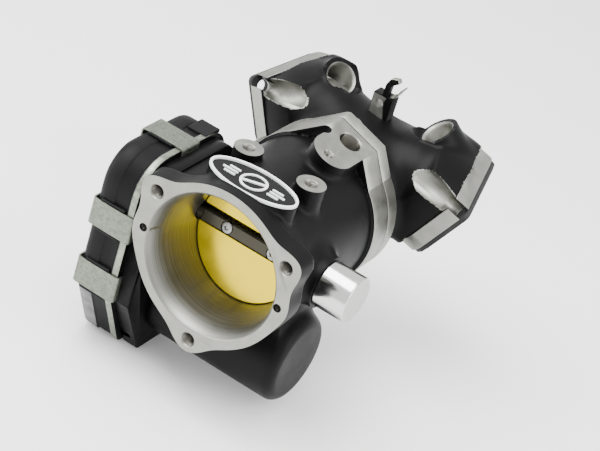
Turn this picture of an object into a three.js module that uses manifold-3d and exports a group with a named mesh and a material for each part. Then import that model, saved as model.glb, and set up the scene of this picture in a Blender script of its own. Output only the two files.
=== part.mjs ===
// Electronic throttle body: cast body with gear case and motor tube, throttle shaft and plate,
// reduction gears, actuator motor, and the two-port intake manifold of a V-twin engine behind it.
// Millimetres, +Z up. In the design group the origin is the centre of the inlet mouth, +X runs
// along the throttle shaft to its capped end and +Y runs down the bore. The outer group moves
// the origin to the middle of the underside of the whole assembly.
import * as THREE from 'three';
import { mergeVertices } from 'three/addons/utils/BufferGeometryUtils.js';
import Module from 'manifold-3d';

const wasm = await Module();
wasm.setup();

// ---- driving dimensions ----
const GAP = 0.3; // between pieces that touch
const MOUTH_R = 36; // inlet mouth radius at the front face
const BORE_R = 31; // 62 mm throttle bore
const TAPER_END = 30; // depth at which the mouth reaches the bore size
const SHAFT_Y = 38.35; // depth of the throttle shaft axis, at z = 0
const SHAFT_R = 5;
const CLOSED_TILT = 11.2; // plate angle from square to the bore when closed, degrees

const BEARING_R = 9;
const SMALL_BEARING_R = 7;
const GEAR_SEAT_R = 4;
const PLATE_T = 2;
const PLATE_R = BORE_R - 0.35;
const PLATE_SCREW_X = 13.4;

const BADGE_A = 24.25; // oval boss half lengths along X and Y
const BADGE_B = 12.47;
const BADGE_Y = 19.63;
const BADGE_TOP = 41.4;
const TOP_BOSS_X = 18.24;
const TOP_BOSS_Y = 42.09;
const TOP_BOSS_Z = 41.6;

const INLET_BOLT_R = 42.9; // circle of the three threaded holes in the front face
const INLET_BOLT_ANGLES = [30, 150, 270];
const INLET_PIN_R = 39.1; // two small locating holes at 0 and 180 degrees
const INLET_FLANGE_DEPTH = 12.5;

const BARREL_R = 37;
const JOINT_Y = 98.6; // face between body and manifold
const REAR_FLANGE_Y = 85.1; // front side of the body's rear flange
const MANIFOLD_FLANGE_END = 107.2;
const REAR_FLANGE_R = 39.9;
const JOINT_SCREW_PLACES = [[40.3, 88], [39.6, 172], [39.6, 292]]; // radius, angle

const CASE_OUTER_X = -69; // outer face of the gear cover
const CASE_SPLIT_X = -50; // joint between cover and housing
const CASE_FLANGE_X = -46.5; // inner side of the housing's clip flange
const PAN_FLOOR_X = -41; // gear side of the housing's floor
const PAN_BACK_X = -38;
const CASE_WALL = 2.6;

const MOTOR_Y = 47; // motor axis
const MOTOR_Z = -54.6;
const TUBE_R = 23.8;
const TUBE_END_X = 38.2;
const MOTOR_R = 18.6;
const MOTOR_PLATE_X = -43.3;
const MOTOR_SCREW_R = 21;
const MOTOR_SCREW_ANGLES = [50, 230];
const ROTOR_R = 1.6; // motor shaft

const GEAR_MODULE = 1;
const SECTOR_TEETH = 48; // on a full circle, only part of it is cut
const IDLER_SMALL_TEETH = 12;
const IDLER_LARGE_TEETH = 42;
const PINION_TEETH = 12;
const PRESSURE_ANGLE = 25;
const THROTTLE_TRAVEL = 79;
const IDLER_PIN_R = 2.5;

const CAP_R = 12.1;
const CAP_END_X = 60.2;
const CAP_START_X = 43;

const HEAD_ROLL = 3.4; // pair of head flanges turned about the bore axis
const PORT_CORNER = [60.2, 115.6, 29.7]; // bolt corner of the right head flange, inner face
const PORT_BACK = 20.5; // head flange normal turned back
const PORT_DOWN = 22.9; // and down, about half the cylinder angle
const PORT_SPIN = 4.4; // head flange turned in its own plane
const PORT_FLANGE_SIDE = 56;
const PORT_FLANGE_T = 8.5;
const PORT_R = 20;
const RUNNER_R = 24.8;
const PORT_FLANGE_DROP = 50; // head flange size down its front edge
const RUNNER_FLARE = [2.6, -0.6]; // growth at the head flange along u and v
const INJECTOR_MOUTH = [29.7, 147.3, 39.5];
const INJECTOR_AXIS = [-0.59, -0.31, 0.74];

const FRAME_SHIFT = [0.13, -87.23, 84.8]; // from the mouth to the middle of the underside

const rad = THREE.MathUtils.degToRad;

// ---- materials ----
const finish = (color, roughness, metalness) =>
  new THREE.MeshStandardMaterial({ color, roughness, metalness });
const MATERIALS = {
  black_body: finish(0x141414, 0.45, 0.3),
  polished: finish(0xd8d8d6, 0.15, 1),
  brass: finish(0xc8b24a, 0.3, 1),
  shaft_steel: finish(0x4a4944, 0.3, 1),
  steel: finish(0x8a8a88, 0.35, 1),
  zinc: finish(0x8f9483, 0.55, 0.7),
  black_plastic: finish(0x181818, 0.6, 0),
  white_plastic: finish(0xd9d4c4, 0.5, 0),
  rubber: finish(0x101010, 0.8, 0),
  gasket: finish(0x0c0c0c, 0.85, 0),
  board_green: finish(0x24512f, 0.5, 0),
  magnet: finish(0x2c2b2d, 0.5, 0.4),
  gold_pin: finish(0xc9a24b, 0.3, 1),
  ring_white: finish(0xe9e9e6, 0.4, 0.2),
};

// ---- solids ----

// A closed geometry as a solid for joining and cutting, with its faces pointing out.
function solidOf(geometry) {
  const plain = geometry.index ? geometry.toNonIndexed() : geometry.clone();
  for (const name of Object.keys(plain.attributes)) {
    if (name !== 'position') plain.deleteAttribute(name);
  }
  const merged = mergeVertices(plain, 1e-4);
  const points = merged.attributes.position.array;
  const at = (i) => new THREE.Vector3().fromArray(points, 3 * i);
  const faces = [];
  let volume = 0;
  for (let i = 0; i < merged.index.count; i += 3) {
    const [a, b, c] = [0, 1, 2].map((k) => merged.index.getX(i + k));
    if (a === b || b === c || c === a) continue;
    faces.push([a, b, c]);
    volume += at(a).dot(at(b).cross(at(c)));
  }
  const triVerts = Uint32Array.from(faces.flatMap((f) => (volume < 0 ? [f[0], f[2], f[1]] : f)));
  const vertProperties = Float32Array.from(points);
  return new wasm.Manifold(new wasm.Mesh({ numProp: 3, vertProperties, triVerts }));
}

const joined = (solids) => solids.reduce((whole, piece) => whole.add(piece));
const cut = (solid, tools) => tools.reduce((rest, tool) => rest.subtract(tool), solid);

// The solid as a geometry again.
function geometryOf(solid) {
  const { vertProperties, triVerts, numProp } = solid.getMesh();
  const geometry = new THREE.BufferGeometry();
  const positions = new Float32Array((vertProperties.length / numProp) * 3);
  for (let i = 0; i < positions.length / 3; i += 1) {
    for (let k = 0; k < 3; k += 1) positions[3 * i + k] = vertProperties[numProp * i + k];
  }
  geometry.setAttribute('position', new THREE.BufferAttribute(positions, 3));
  geometry.setIndex(new THREE.BufferAttribute(Uint32Array.from(triVerts), 1));
  return geometry;
}

// Turns local +Y onto the named axis, for lathe work.
function turnTo(geometry, axis) {
  if (axis === 'x') geometry.rotateZ(-Math.PI / 2);
  if (axis === 'z') geometry.rotateX(Math.PI / 2);
  return geometry;
}

// Number of flats round a turned piece: more on a larger radius.
const facets = (profile) =>
  4 * Math.round(0.9 + 1.45 * Math.sqrt(Math.max(...profile.map(([r]) => r))));

// A turned solid: profile of [radius, distance along the axis], starting and ending on the
// axis or closing on itself, about an axis through centre.
function turned(axis, centre, profile) {
  const line = profile.map(([r, s]) => new THREE.Vector2(r, s));
  const geometry = turnTo(new THREE.LatheGeometry(line, facets(profile)), axis);
  return solidOf(geometry.translate(...centre));
}

const drum = (axis, centre, radius, from, to) =>
  turned(axis, centre, [[0, from], [radius, from], [radius, to], [0, to]]);

const tube = (axis, centre, outer, inner, from, to) =>
  turned(axis, centre, [[inner, from], [outer, from], [outer, to], [inner, to], [inner, from]]);

// An outline extruded along an axis. Its coordinates are the two other axes in X, Y, Z order.
function prism(axis, shape, from, to) {
  const geometry = new THREE.ExtrudeGeometry(shape, {
    depth: to - from, bevelEnabled: false, curveSegments: 6,
  });
  if (axis === 'x') {
    const turn = new THREE.Matrix4().makeBasis(
      new THREE.Vector3(0, 1, 0), new THREE.Vector3(0, 0, 1), new THREE.Vector3(1, 0, 0));
    geometry.applyMatrix4(turn).translate(from, 0, 0);
  }
  if (axis === 'y') geometry.rotateX(Math.PI / 2).translate(0, to, 0);
  if (axis === 'z') geometry.translate(0, 0, from);
  return solidOf(geometry);
}

const block = (low, high) => {
  const size = high.map((value, k) => value - low[k]);
  const middle = high.map((value, k) => (value + low[k]) / 2);
  return solidOf(new THREE.BoxGeometry(...size).translate(...middle));
};

// Corners [a, b, radius] in counterclockwise order, moved inwards by inset.
function insetCorners(corners, inset) {
  const normals = corners.map(([x, y], i) => {
    const [nx, ny] = corners[(i + 1) % corners.length];
    return new THREE.Vector2(y - ny, nx - x).normalize();
  });
  return corners.map(([x, y, radius], i) => {
    const before = normals.at(i - 1);
    const after = normals[i];
    const reach = inset / (1 + before.dot(after));
    return [x + reach * (before.x + after.x), y + reach * (before.y + after.y),
      radius > 0 ? Math.max(radius - inset, 0.5) : 0];
  });
}

// An outline whose corners [a, b, radius] are rounded by arcs.
function rounded(corners, steps = 4) {
  const points = [];
  corners.forEach(([x, y, radius = 0], i) => {
    const corner = new THREE.Vector2(x, y);
    if (radius === 0) {
      points.push(corner);
      return;
    }
    const back = new THREE.Vector2(...corners.at(i - 1).slice(0, 2)).sub(corner).normalize();
    const ahead = new THREE.Vector2(...corners[(i + 1) % corners.length].slice(0, 2))
      .sub(corner).normalize();
    const half = Math.acos(THREE.MathUtils.clamp(back.dot(ahead), -1, 1)) / 2;
    const middle = back.clone().add(ahead).normalize().multiplyScalar(radius / Math.sin(half));
    const centre = corner.clone().add(middle);
    const start = corner.clone().addScaledVector(back, radius / Math.tan(half)).sub(centre);
    const end = corner.clone().addScaledVector(ahead, radius / Math.tan(half)).sub(centre);
    const sweep = Math.atan2(start.cross(end), start.dot(end));
    for (let k = 0; k <= steps; k += 1) {
      const spoke = start.clone().rotateAround(new THREE.Vector2(), (sweep * k) / steps);
      points.push(spoke.add(centre));
    }
  });
  return new THREE.Shape(points);
}

const polar = (radius, angle) =>
  [radius * Math.cos(rad(angle)), radius * Math.sin(rad(angle))];

// An outline given by its radius as a function of the angle in degrees.
function polarShape(radiusAt, steps) {
  const points = [];
  for (let k = 0; k < steps; k += 1) {
    const angle = (360 * k) / steps;
    points.push(new THREE.Vector2(...polar(radiusAt(angle), angle)));
  }
  return new THREE.Shape(points);
}

// ---- gears ----

// Outline of a straight gear, each flank the chord of its involute from root to tip. A tooth is centred on the angle
// toothAt, and only teeth between fromAngle and toAngle are cut when those are given.
function gearShape(teeth, centre, toothAt, blankRadius, fromAngle, toAngle) {
  const pitchR = (GEAR_MODULE * teeth) / 2;
  const baseR = pitchR * Math.cos(rad(PRESSURE_ANGLE));
  const tipR = pitchR + 0.8 * GEAR_MODULE;
  const rootR = pitchR - 1.15 * GEAR_MODULE;
  const backlash = 0.28; // taken off the tooth thickness at the pitch circle
  const involute = (r) => {
    const ratio = Math.sqrt(Math.max((r / baseR) ** 2 - 1, 0));
    return ratio - Math.atan(ratio);
  };
  const halfPitch = (Math.PI / teeth) / 2 - backlash / 2 / pitchR;
  const halfAt = (r) => halfPitch + involute(pitchR) - involute(Math.max(r, baseR));
  const flank = [rootR, tipR];
  const points = [];
  const step = 360 / teeth;
  for (let k = 0; k < teeth; k += 1) {
    const angle = toothAt + k * step;
    const turn = THREE.MathUtils.euclideanModulo(angle - (fromAngle ?? angle), 360);
    if (fromAngle !== undefined && turn > toAngle - fromAngle) {
      points.push([blankRadius, angle - step / 4], [blankRadius, angle + step / 4]);
      continue;
    }
    flank.forEach((r) => points.push([r, angle - THREE.MathUtils.radToDeg(halfAt(r))]));
    [...flank].reverse()
      .forEach((r) => points.push([r, angle + THREE.MathUtils.radToDeg(halfAt(r))]));
  }
  return new THREE.Shape(points.map(([r, angle]) => {
    const [a, b] = polar(r, angle);
    return new THREE.Vector2(a + centre[0], b + centre[1]);
  }));
}

const SECTOR_R = (GEAR_MODULE * SECTOR_TEETH) / 2;
const IDLER_SMALL_R = (GEAR_MODULE * IDLER_SMALL_TEETH) / 2;
const IDLER_LARGE_R = (GEAR_MODULE * IDLER_LARGE_TEETH) / 2;
const PINION_R = (GEAR_MODULE * PINION_TEETH) / 2;
const SHAFT_AXIS = [SHAFT_Y, 0];
const MOTOR_AXIS = [MOTOR_Y, MOTOR_Z];

// The idler stands at both centre distances, on the front side of the line of centres.
function idlerCentre() {
  const first = SECTOR_R + IDLER_SMALL_R;
  const second = IDLER_LARGE_R + PINION_R;
  const dy = MOTOR_Y - SHAFT_Y;
  const dz = MOTOR_Z;
  const span = Math.hypot(dy, dz);
  const along = (first ** 2 - second ** 2 + span ** 2) / (2 * span);
  const across = -Math.sqrt(first ** 2 - along ** 2);
  return [SHAFT_Y + (along * dy - across * dz) / span, (along * dz + across * dy) / span];
}
const IDLER_AXIS = idlerCentre();
const bearingTo = (from, to) =>
  THREE.MathUtils.radToDeg(Math.atan2(to[1] - from[1], to[0] - from[0]));
const SHAFT_TO_IDLER = bearingTo(SHAFT_AXIS, IDLER_AXIS);
const IDLER_TO_MOTOR = bearingTo(IDLER_AXIS, MOTOR_AXIS);

const onAxis = ([y, z]) => [0, y, z];

// Layers along X inside the gear case.
const SECTOR_LAYER = [-56.5, -51.5];
const IDLER_LARGE_LAYER = [-63.5, -59.5];
const GEAR_END_X = -57.5;

// ---- throttle body ----

// Front flange: a ring with a lobe at each bolt and a low ear at each locating hole.
const FLANGE_BASE_R = 41;
const FLANGE_LOBES = [
  { angle: 30, height: 10.2, width: 13 },
  { angle: 150, height: 10.2, width: 13 },
  { angle: 270, height: 8.2, width: 15 },
  { angle: 0, height: 3.8, width: 16 },
  { angle: 180, height: 4, width: 19 },
];
const inletFlangeRadius = (angle) => FLANGE_LOBES.reduce((radius, lobe) => {
  const off = THREE.MathUtils.euclideanModulo(angle - lobe.angle + 180, 360) - 180;
  return radius + lobe.height * Math.exp(-((off / lobe.width) ** 2));
}, FLANGE_BASE_R);

// Gear case outline in (y, z), the same distance either side of the shaft.
const CASE_FRONT_Y = 2.5;
const CASE_REAR_Y = 2 * SHAFT_Y - CASE_FRONT_Y;
const caseCorners = (inset, drop = 0) => insetCorners([
  [20 + drop, -82 - drop, 5],
  [CASE_REAR_Y - 17.5 - drop, -82 - drop, 5],
  [CASE_REAR_Y, -50, 6],
  [CASE_REAR_Y, 27.5, 18],
  [CASE_FRONT_Y, 27.5, 18],
  [CASE_FRONT_Y, -50, 6],
], inset);

// Rear flange outline in (x, z): a ring with a flat shoulder at the top right for the sensor
// pad, and an ear at each joint screw.
const PAD_TILT = 17.7; // pad surface leans down to the right
const PAD_HEIGHT = 45.4; // distance of its plane from the bore axis
const PAD_LEFT = -15.5; // extent across, in the tilted direction
const PAD_RIGHT = 8.1;
const PAD_NOSE_Y = 62.2;
const PAD_NOSE_R = 11;
const PAD_MIDDLE = -3.1;
const SENSOR_HOLE_Y = 88.6;
const SENSOR_SCREW_Y = 68.6;

const padPoint = (across, height) => [
  across * Math.cos(rad(PAD_TILT)) + height * Math.sin(rad(PAD_TILT)),
  -across * Math.sin(rad(PAD_TILT)) + height * Math.cos(rad(PAD_TILT)),
];

function rearFlange(from, to) {
  const shoulder = rounded([
    [-20, 0], [20, 0], polar(REAR_FLANGE_R, 42), [...padPoint(PAD_RIGHT, PAD_HEIGHT), 0.8],
    [...padPoint(PAD_LEFT - 1.2, PAD_HEIGHT), 4], polar(REAR_FLANGE_R, 136),
  ], 4);
  const pieces = [drum('y', [0, 0, 0], REAR_FLANGE_R, from, to), prism('y', shoulder, from, to)];
  JOINT_SCREW_PLACES.slice(1).forEach(([radius, angle]) => {
    const [x, z] = polar(radius, angle);
    pieces.push(drum('y', [x, 0, z], 6.6, from, to));
  });
  return joined(pieces);
}

// A solid made in the pad's level frame, turned about the bore axis to the pad's tilt.
const tilted = (solid) => solid.rotate([0, PAD_TILT, 0]);

function sensorPad() {
  const nose = PAD_NOSE_Y + PAD_NOSE_R;
  const boss = [
    drum('z', [PAD_MIDDLE, nose, 0], PAD_NOSE_R, 20, PAD_HEIGHT),
    block([PAD_MIDDLE - PAD_NOSE_R, nose, 20], [PAD_RIGHT - 0.2, REAR_FLANGE_Y + 1, PAD_HEIGHT]),
  ];
  return tilted(joined(boss));
}

const throttleBore = () => turned('y', [0, 0, 0], [
  [0, -1], [MOUTH_R + 1.4, -1], [MOUTH_R, 0.4], [MOUTH_R - 2.6, 11],
  [BORE_R, TAPER_END], [BORE_R, JOINT_Y + 1], [0, JOINT_Y + 1],
]);

// Threaded hole with a countersunk mouth, cut along an axis from `at` for `depth`.
function tappedHole(axis, centre, radius, at, depth, inwards) {
  const rim = radius + 0.8;
  const line = [[0, -1], [rim, -1], [rim, 0], [radius, 0.8], [radius, depth], [0, depth + radius * 0.5]];
  return turned(axis, centre, line.map(([r, s]) => [r, at + inwards * s]));
}

function throttleBody() {
  const bearing = onAxis(SHAFT_AXIS);
  const motor = onAxis(MOTOR_AXIS);
  const casting = joined([
    prism('y', polarShape(inletFlangeRadius, 54), 0, INLET_FLANGE_DEPTH),
    turned('y', [0, 0, 0], [
      [0, INLET_FLANGE_DEPTH - 1], [FLANGE_BASE_R - 1.5, INLET_FLANGE_DEPTH - 1],
      [BARREL_R, 26], [BARREL_R + 1.2, REAR_FLANGE_Y + 1], [0, REAR_FLANGE_Y + 1],
    ]),
    rearFlange(REAR_FLANGE_Y, JOINT_Y),
    sensorPad(),
    // badge boss and the two top bosses
    prism('z', ovalShape(BADGE_A, BADGE_B), 25, BADGE_TOP - 1.6),
    drum('z', [TOP_BOSS_X, TOP_BOSS_Y, 0], 7.4, 20, TOP_BOSS_Z),
    drum('z', [-TOP_BOSS_X, TOP_BOSS_Y, 0], 7.4, 20, TOP_BOSS_Z),
    // shaft boss on the capped side
    turned('x', bearing, [[0, 25], [16.5, 25], [14.2, CAP_START_X - 4], [13.6, CAP_START_X - GAP],
      [0, CAP_START_X - GAP]]),
    // motor tube with a rounded end
    turned('x', motor, [[0, PAN_BACK_X - 1], [TUBE_R + 1, PAN_BACK_X - 1], [TUBE_R + 1, -4],
      [TUBE_R, -3], [TUBE_R, TUBE_END_X - 6], [TUBE_R - 1.8, TUBE_END_X - 1.8],
      [TUBE_R - 6, TUBE_END_X], [0, TUBE_END_X]]),
    // gear case pan with its clip flange
    prism('x', rounded(caseCorners(2.2, 5)), CASE_FLANGE_X - 0.2, PAN_BACK_X),
    prism('x', rounded(caseCorners(-0.4)), CASE_SPLIT_X, CASE_FLANGE_X),
    // saddle that carries the case on the barrel
    prism('x', rounded([[8, -30, 4], [66, -34, 6], [66, 14, 6], [52, 24, 8], [12, 24, 8], [8, 14, 4]]),
      PAN_BACK_X - 1, -24),
    block([PAN_BACK_X - 1, 30, -50], [30, 62, -25]),
  ]);
  const tools = [
    throttleBore(),
    // shaft bore, bearing pockets and cap register
    drum('x', bearing, SHAFT_R + GAP, -60, CAP_START_X + 1),
    drum('x', bearing, BEARING_R + GAP, -55, -36),
    drum('x', bearing, SMALL_BEARING_R + GAP, 34.8, CAP_START_X + 1),
    // inside of the pan, around a hub for the bearing
    cut(prism('x', rounded(caseCorners(CASE_WALL + 1)), CASE_SPLIT_X - 1, PAN_FLOOR_X), [
      drum('x', bearing, 10.6, -44, PAN_FLOOR_X + 1),
      drum('x', onAxis(IDLER_AXIS), 5, -46, PAN_FLOOR_X + 1),
    ]),
    drum('x', onAxis(IDLER_AXIS), IDLER_PIN_R + GAP, -47, -39.5),
    drum('x', motor, MOTOR_R + 0.5, PAN_FLOOR_X - 1, TUBE_END_X - 4.5),
    // sensor port and its screw hole, square to the pad
    tilted(turned('z', [PAD_MIDDLE, SENSOR_HOLE_Y, 0], [[0, PAD_HEIGHT + 1], [6.6, PAD_HEIGHT + 1],
      [5.8, PAD_HEIGHT - 0.7], [5.8, 36], [3.2, 34], [3.2, 28], [0, 28]])),
    tilted(tappedHole('z', [PAD_MIDDLE - 0.3, SENSOR_SCREW_Y, 0], 2, PAD_HEIGHT, 10, -1)),
    // relief beside the pad
    tilted(drum('z', [PAD_MIDDLE - PAD_NOSE_R - 2.2, REAR_FLANGE_Y - 3, 0], 4, 38.6, 60)),
    // badge seat and recess
    prism('z', ovalShape(BADGE_A + GAP, BADGE_B + GAP), BADGE_TOP - 1.6, BADGE_TOP + 1),
    prism('z', ovalShape(BADGE_A - 1, BADGE_B - 1), BADGE_TOP - 2.9, BADGE_TOP),
    oRingGroove(),
  ];
  INLET_BOLT_ANGLES.forEach((angle) => {
    const [x, z] = polar(INLET_BOLT_R, angle);
    tools.push(tappedHole('y', [x, 0, z], 3.2, 0, 11, 1));
  });
  [-1, 1].forEach((side) => {
    tools.push(tappedHole('y', [side * INLET_PIN_R, 0, 0], 1.4, 0, 6, 1));
    tools.push(tappedHole('z', [side * TOP_BOSS_X, TOP_BOSS_Y, 0], 2.8, TOP_BOSS_Z, 5.4, -1));
  });
  JOINT_SCREW_PLACES.forEach(([radius, angle]) => {
    const [x, z] = polar(radius, angle);
    tools.push(drum('y', [x, 0, z], 2.6, REAR_FLANGE_Y + 2, JOINT_Y + 1));
  });
  MOTOR_SCREW_ANGLES.forEach((angle) => {
    const [y, z] = polar(MOTOR_SCREW_R, angle);
    tools.push(drum('x', [0, MOTOR_Y + y, MOTOR_Z + z], 1.6, -42, -38.6));
  });
  return cut(casting, tools);
}

const ovalShape = (a, b) => {
  const points = [];
  for (let k = 0; k < 36; k += 1) {
    const [c, s] = polar(1, 10 * k);
    points.push(new THREE.Vector2(a * c, BADGE_Y + b * s));
  }
  return new THREE.Shape(points);
};

const oRingGroove = () => tube('y', [0, 0, 0], 35.4, 32.6, JOINT_Y - 1.6, JOINT_Y + 0.5);

// ---- throttle shaft and plate ----

// An ellipse, so that the tilted disc fills the round bore.
const plateGeometry = () =>
  new THREE.CylinderGeometry(PLATE_R, PLATE_R, PLATE_T, facets([[PLATE_R]]))
    .scale(1, 1, 1 / Math.cos(rad(CLOSED_TILT)));

// The disc's normal starts along local Y. Tilting about X sends its top edge deeper.
const inPlateFrame = (geometry) => geometry.rotateX(-rad(CLOSED_TILT)).translate(0, SHAFT_Y, 0);

function throttlePlate() {
  const disc = solidOf(inPlateFrame(plateGeometry()));
  return cut(disc, [-1, 1].map((side) => plateScrewTool(side, 2.1)));
}

const plateScrewTool = (side, radius) => solidOf(inPlateFrame(
  new THREE.CylinderGeometry(radius, radius, 20, 12).translate(side * PLATE_SCREW_X, 0, 0)));

function throttleShaft() {
  const axis = onAxis(SHAFT_AXIS);
  const bar = turned('x', axis, [[0, -62.2], [3.2, -62.2], [3.2, GEAR_END_X - 4.4], [3.4, GEAR_END_X],
    [GEAR_SEAT_R, GEAR_END_X], [GEAR_SEAT_R, -48.4], [SHAFT_R, -48.4], [SHAFT_R, CAP_START_X - 1.2],
    [0, CAP_START_X - 1.2]]);
  const slot = solidOf(inPlateFrame(
    new THREE.BoxGeometry(2 * PLATE_R + 1, PLATE_T + 0.4, 2 * SHAFT_R + 2)));
  const flat = solidOf(inPlateFrame(new THREE.BoxGeometry(2 * PLATE_R - 6, 3, 2 * SHAFT_R + 2)
    .translate(0, -3.6 - 1.5, 0)));
  const seats = [-1, 1].flatMap((side) => [
    plateScrewTool(side, 1.6),
    solidOf(inPlateFrame(new THREE.CylinderGeometry(3.4, 3.4, 4, 16)
      .translate(side * PLATE_SCREW_X, -2.9 - 2, 0))),
  ]);
  return cut(bar, [slot, flat, ...seats]);
}

function plateScrew(side) {
  const head = new THREE.CylinderGeometry(3.0, 3.0, 1.4, 16)
    .translate(side * PLATE_SCREW_X, -3.9, 0);
  const shank = new THREE.CylinderGeometry(1.3, 1.3, 6.6, 12)
    .translate(side * PLATE_SCREW_X, 0, 0);
  return joined([solidOf(inPlateFrame(head)), solidOf(inPlateFrame(shank))]);
}

function sectorGear() {
  const axis = onAxis(SHAFT_AXIS);
  // Opening turns the gear towards smaller angles, so the teeth lie ahead of the contact.
  const teeth = gearShape(SECTOR_TEETH, SHAFT_AXIS, SHAFT_TO_IDLER, 15,
    SHAFT_TO_IDLER - 12, SHAFT_TO_IDLER + THROTTLE_TRAVEL + 12);
  const wheel = joined([
    prism('x', teeth, ...SECTOR_LAYER),
    tube('x', axis, 8, GEAR_SEAT_R + GAP, GEAR_END_X + GAP, -49),
  ]);
  return cut(wheel, [drum('x', axis, GEAR_SEAT_R + GAP, -70, -40)]);
}

function idlerGear() {
  const axis = onAxis(IDLER_AXIS);
  const small = gearShape(IDLER_SMALL_TEETH, IDLER_AXIS,
    SHAFT_TO_IDLER + 180 + 180 / IDLER_SMALL_TEETH);
  const large = gearShape(IDLER_LARGE_TEETH, IDLER_AXIS, IDLER_TO_MOTOR);
  const wheel = joined([
    prism('x', small, IDLER_LARGE_LAYER[0] + 1, SECTOR_LAYER[1] + 0.5),
    prism('x', large, ...IDLER_LARGE_LAYER),
    drum('x', axis, 5, IDLER_LARGE_LAYER[0] - 1, IDLER_LARGE_LAYER[0] + 1),
  ]);
  return cut(wheel, [drum('x', axis, IDLER_PIN_R + GAP, -70, -44)]);
}

// ---- actuator motor ----

function motorPinion() {
  const teeth = gearShape(PINION_TEETH, MOTOR_AXIS, IDLER_TO_MOTOR + 180 + 180 / PINION_TEETH);
  return cut(prism('x', teeth, -64.5, -58.5), [drum('x', onAxis(MOTOR_AXIS), ROTOR_R + GAP, -70, -50)]);
}

function motorArmature() {
  const axis = onAxis(MOTOR_AXIS);
  return joined([
    drum('x', axis, ROTOR_R, -65.2, 30),
    turned('x', axis, [[0, -28], [6, -28], [6, -20], [3, -20], [3, -17], [12.2, -17], [12.2, 20],
      [3, 20], [0, 20]]),
  ]);
}

function motorCan() {
  const axis = onAxis(MOTOR_AXIS);
  const shell = turned('x', axis, [[0, 32.6], [4.2, 32.6], [4.2, 30.6], [MOTOR_R - 2, 30.6],
    [MOTOR_R, 28.6], [MOTOR_R, PAN_FLOOR_X + 0.5], [0, PAN_FLOOR_X + 0.5]]);
  return cut(shell, [
    drum('x', axis, MOTOR_R - 1.4, PAN_FLOOR_X, 28.4),
    drum('x', axis, ROTOR_R + GAP, 25, 31.5),
  ]);
}

// Flat plate that closes the motor and is screwed to the floor of the pan.
function motorPlate() {
  const axis = onAxis(MOTOR_AXIS);
  const ears = MOTOR_SCREW_ANGLES.map((angle) => {
    const [y, z] = polar(MOTOR_SCREW_R, angle);
    return drum('x', [0, MOTOR_Y + y, MOTOR_Z + z], 4.2, MOTOR_PLATE_X, PAN_FLOOR_X - GAP);
  });
  const disc = joined([drum('x', axis, 17.5, MOTOR_PLATE_X, PAN_FLOOR_X - GAP), ...ears]);
  const holes = MOTOR_SCREW_ANGLES.map((angle) => {
    const [y, z] = polar(MOTOR_SCREW_R, angle);
    return drum('x', [0, MOTOR_Y + y, MOTOR_Z + z], 1.75, -46, -40);
  });
  return cut(disc, [drum('x', axis, ROTOR_R + 2 * GAP, -46, -40), ...holes]);
}

function motorScrew(angle) {
  const [y, z] = polar(MOTOR_SCREW_R, angle);
  const centre = [0, MOTOR_Y + y, MOTOR_Z + z];
  return joined([
    drum('x', centre, 2.8, MOTOR_PLATE_X - GAP - 1.8, MOTOR_PLATE_X - GAP),
    drum('x', centre, 1.4, MOTOR_PLATE_X - GAP - 1, -38.9),
  ]);
}

// ---- bearings, seals, spring, sensor ----

const ringOnShaft = (outer, inner, from, to) =>
  tube('x', onAxis(SHAFT_AXIS), outer, inner, from, to);

const shaftEndCap = () => {
  const axis = onAxis(SHAFT_AXIS);
  const shell = turned('x', axis, [[0, CAP_END_X], [CAP_R - 1.2, CAP_END_X], [CAP_R, CAP_END_X - 1.2],
    [CAP_R, CAP_START_X], [0, CAP_START_X]]);
  const spigot = drum('x', axis, 6.8, CAP_START_X - 0.8, CAP_START_X + 1);
  return cut(joined([shell, spigot]), [drum('x', axis, 5.6, CAP_START_X - 5, CAP_END_X - 5)]);
};

// Torsion spring round the bearing hub: turns of round wire between two straight legs.
class SpringPath extends THREE.Curve {
  constructor(radius, turns, from, to) {
    super();
    Object.assign(this, { radius, turns, from, to });
  }

  getPoint(t, target = new THREE.Vector3()) {
    const angle = 2 * Math.PI * this.turns * t;
    return target.set(this.from + (this.to - this.from) * t,
      SHAFT_Y + this.radius * Math.cos(angle), this.radius * Math.sin(angle));
  }
}

function returnSpring() {
  const wire = new THREE.Shape(new THREE.Path().absarc(0, 0, 0.65, 0, 2 * Math.PI).getPoints(6)
    .slice(0, 6));
  return solidOf(new THREE.ExtrudeGeometry(wire, {
    steps: 45, bevelEnabled: false, curveSegments: 4,
    extrudePath: new SpringPath(12.6, 3, -48.6, -42.4),
  }));
}

// Board with the magnet sensor, held inside the cover over the end of the shaft.
const positionBoard = () => prism('x', rounded([[SHAFT_Y - 9, -8, 2], [SHAFT_Y + 12, -8, 2],
  [SHAFT_Y + 12, 12, 2], [SHAFT_Y - 9, 12, 2]], 3), -66.1, -64.9);

// ---- gear cover, its seal and clips ----

// Electrical connector on the rear wall of the cover, its socket open to the rear.
const CONNECTOR = { x: [-64, -51], y: [CASE_REAR_Y + GAP, 89], z: [-21, 3] };
const CONNECTOR_WALL = 1.5;
const SOCKET_FLOOR_Y = 78;
const CONTACTS = { x: [-59.5, -55.5], z: [-15, -9, -3] };

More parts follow.
